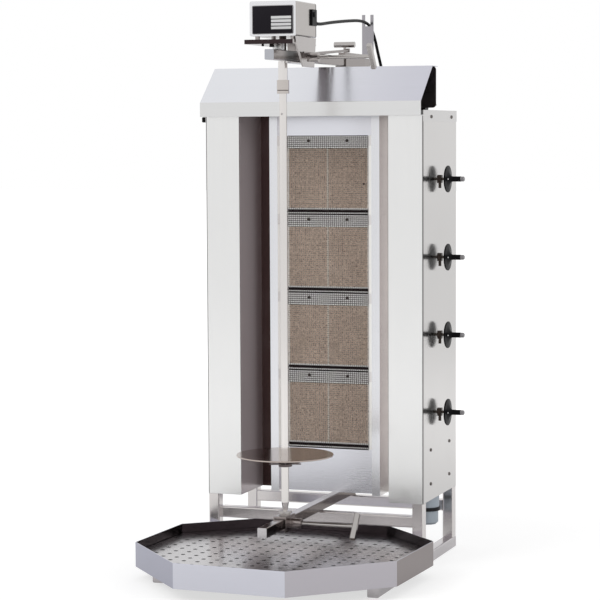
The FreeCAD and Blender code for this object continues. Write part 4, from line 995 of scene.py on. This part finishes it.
def fittings():
    cover_left = limits("top_cover")[0].x
    hood_bottom = limits("hood_front")[0].z
    arm_top = limits("upper_arm")[1].z
    plate_bottom = arm_top + bracket_gap
    black = moulded_plastic("black_rubber_and_painted_shadow", (0.008, 0.008, 0.008), 0.5)
    dark = cast_or_turned("nut_black", (0.02, 0.017, 0.016), 0.35)
    # A black block of painted shadow beside the cover's left flange, under the hood.
    flange_shadow = bmesh.new()
    block(flange_shadow, (cover_left - flange_shadow_width, flange_shadow_front, hood_bottom - flange_shadow_drop),
          (cover_left, flange_shadow_back, hood_bottom - flange_shadow_gap))
    ease_edges(flange_shadow, flange_shadow_edge, 4)
    add_piece("flange_shadow_block", as_mesh("flange_shadow_block", flange_shadow), black, "grill", "ring_dark")
    nuts = bmesh.new()
    for x, height, radius, sides in nuts_under:
        bar(nuts, (x, nut_y, plate_bottom - height), (x, nut_y, plate_bottom), radius, sides=sides)
    ease_edges(nuts, small_edge)
    add_piece("bracket_nuts", as_mesh("bracket_nuts", nuts), dark, "head", "screw_steel")
    spacer = bmesh.new()
    block(spacer, (*spacer_low, arm_top + spacer_gap), (*spacer_high, plate_bottom - spacer_gap))
    ease_edges(spacer, spacer_edge)
    add_piece("bracket_spacer", as_mesh("bracket_spacer", spacer),
              cast_or_turned("spacer_alloy", (0.78, 0.78, 0.78), 0.35), "head", "arm_steel")
    rings = bmesh.new()
    gland_low, gland_high = limits("cable_gland")
    middle = (gland_low + gland_high) / 2
    for step in range(ring_count):
        y = gland_low.y + ring_start + ring_pitch * step
        bar(rings, (middle.x, y, middle.z), (middle.x, y + ring_width, middle.z),
            ring_radius - ring_taper * step)
    ease_edges(rings, small_edge)
    add_piece("gland_rings", as_mesh("gland_rings", rings), black, "head", "black_plastic")


label_edge = 0.25


def label_plate():
    """The blank plate on the motor box; its edges that run from front to back are rounded."""
    shape = bmesh.new()
    low, high = limits("box_plate")
    block(shape, low, high)
    corners = [
        edge for edge in shape.edges
        if abs((edge.verts[0].co - edge.verts[1].co).y) > (high.y - low.y) / 2 * mm
    ]
    bmesh.ops.bevel(shape, geom=corners, affect="EDGES", offset=plate_corner * mm, segments=5,
                    profile=0.5, material=-1)
    ease_edges(shape, label_edge)
    add_piece("label_plate", as_mesh("label_plate", shape),
              frame["nodes"]["box_plate"].data.materials[0], "head", "plate_dark", "box_plate")


# Softened copies of CAD nodes

weld_reach = 0.000002


def softened(node_name, width, slot, body="grill"):
    """A copy of a CAD node with its edges slightly rounded, like folded or ground steel."""
    source = frame["nodes"][node_name].data
    shape = bmesh.new()
    shape.from_mesh(source)
    bmesh.ops.remove_doubles(shape, verts=shape.verts, dist=weld_reach)
    ease_edges(shape, width)
    made = add_piece(node_name + "_eased", as_mesh(node_name, shape), source.materials[0], body,
                     slot, node_name)
    flatten = made.modifiers.new("flat_faces", "WEIGHTED_NORMAL")
    flatten.weight = 100
    flatten.keep_sharp = True
    return made


# Painted light and shade for the tray's sides, each for normals with an X part below a limit; the
# top of the rim is painted light, and the inside and the floor dark as shade.
painted_outer_shades = (
    (-0.5, (0.53, 0.535, 0.65)),
    (0.3, (0.89, 0.895, 0.99)),
    (0.93, (0.68, 0.65, 0.70)),
    (1.1, (0.34, 0.295, 0.29)),
)
painted_rim_light = (0.89, 0.895, 0.99)
painted_inner_shade = (0.07, 0.055, 0.06)
painted_tray_floor_shade = (0.012, 0.009, 0.01)


def paint_face_shades(made):
    """Paints light and shade on the tray: each face takes the tone of the side it looks to."""
    mesh = made.data
    tones = mesh.attributes.new(painted_face_tone, "FLOAT_COLOR", "FACE")
    low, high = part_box("drip_tray")
    middle = (low + high) / 2
    for face in mesh.polygons:
        outward = (face.center - middle).dot(face.normal) > 0
        if abs(face.normal.z) > 0.5:
            tone = painted_rim_light if face.center.z > middle.z else painted_tray_floor_shade
        elif outward:
            tone = next(tone for limit, tone in painted_outer_shades if face.normal.x < limit)
        else:
            tone = painted_inner_shade
        tones.data[face.index].color = (*tone, 1)


def softened_nodes():
    for name, width, slot in (
        ("hood_front", 0.5, "hood_steel"), ("top_cover", 0.4, "body_steel"),
        ("right_side_panel", 0.4, "side_steel"), ("left_side_panel", 0.4, "side_steel"),
        ("right_pillar", 0.5, "body_steel"), ("left_pillar", 0.5, "body_steel"),
        ("arm_stay", 0.6, "arm_steel"), ("cable_fork", 0.6, "box_steel"),
    ):
        softened(name, width, slot)
    for name, width, slot in (
        ("motor_bracket", 0.5, "arm_steel"),
        ("motor_box", 0.4, "box_steel"), ("switch_block", 0.5, "black_plastic"),
    ):
        softened(name, width, slot, "head")
    paint_face_shades(softened("drip_tray", 0.4, "tray_steel", "tray"))
    softened("meat_disc", 0.6, "spit_steel", "disc")
    softened("lower_saddle", 0.6, "arm_steel", "saddle")
    for row in range(1, burner_rows + 1):
        softened("knob_%d" % row, 0.5, "knob_black", "knob_%d" % row)


# Mains lead with its coil

lead_diameter = 7.0
coil_radius = 39.0
coil_turns = 3.25
coil_middle = (120.0, 190.0)
coil_low = 996.8
coil_high = 1021.175
points_per_turn = 16
tail_length = 25.0
gland_exit = (41.0, -92.0, 1176.0)
lead_route = [
    gland_exit,
    (41.0, -70.0, 1176.0),
    (36.5, -30.0, 1179.0),
    (30.0, 40.0, 1185.0),
    (22.0, 130.0, 1191.5),
    (13.5, 228.0, 1198.0),
    (6.0, 312.0, 1202.5),
    (1.5, 372.0, 1202.0),
    (1.0, 412.0, 1195.6),
    (4.0, 438.0, 1170.0),
    (11.0, 441.0, 1134.0),
    (21.0, 438.0, 1096.0),
    (33.0, 425.0, 1060.0),
    (46.0, 396.0, 1034.0),
    (58.0, 352.0, 1020.0),
    (69.0, 300.0, 1014.0),
    (78.0, 250.0, 1015.5),
    (81.0, 215.0, 1019.675),
]


def lead_points():
    points = [at(*point) for point in lead_route]
    steps = round(coil_turns * points_per_turn)
    for step in range(steps + 1):
        angle = math.pi + 2 * math.pi * step / points_per_turn
        points.append(at(
            coil_middle[0] + coil_radius * math.cos(angle),
            coil_middle[1] + coil_radius * math.sin(angle),
            coil_high + (coil_low - coil_high) * step / steps,
        ))
    tail_y = coil_middle[1] - coil_radius
    points.append(at(coil_middle[0] + tail_length / 2, tail_y, coil_low))
    points.append(at(coil_middle[0] + tail_length, tail_y, coil_low))
    return points


def mains_lead(finish):
    data = bpy.data.curves.new("lead_line", "CURVE")
    data.dimensions = "3D"
    spline = data.splines.new("NURBS")
    points = lead_points()
    spline.points.add(len(points) - 1)
    for point, place in zip(spline.points, points):
        point.co = (*place, 1)
    spline.order_u = 3
    spline.use_endpoint_u = True
    spline.resolution_u = 8
    line = bpy.data.objects.new("lead_line", data)
    bpy.context.scene.collection.objects.link(line)
    bpy.context.view_layer.update()
    centre = bpy.data.meshes.new_from_object(line)
    data.bevel_depth = lead_diameter / 2 * mm
    data.bevel_resolution = 4
    data.use_fill_caps = True
    bpy.context.view_layer.update()
    graph = bpy.context.evaluated_depsgraph_get()
    mesh = bpy.data.meshes.new_from_object(line.evaluated_get(graph))
    mesh.name = "mains_lead_and_coil"
    mesh.shade_smooth()
    bpy.data.objects.remove(line)
    made = bpy.data.objects.new("mains_lead_and_coil", mesh)
    bpy.context.scene.collection.objects.link(made)
    mesh.materials.clear()
    mesh.materials.append(finish)
    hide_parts("mains_lead", "mains_coil")
    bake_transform(made)


bpy.context.scene.view_settings.view_transform = "Standard"
camera()
sky()
floor()
lights()
finishes()
wire_cloth(cloth_wire())
burner_fronts()
screws()
fittings()
label_plate()
softened_nodes()
mains_lead(lead_rubber("lead_rubber"))
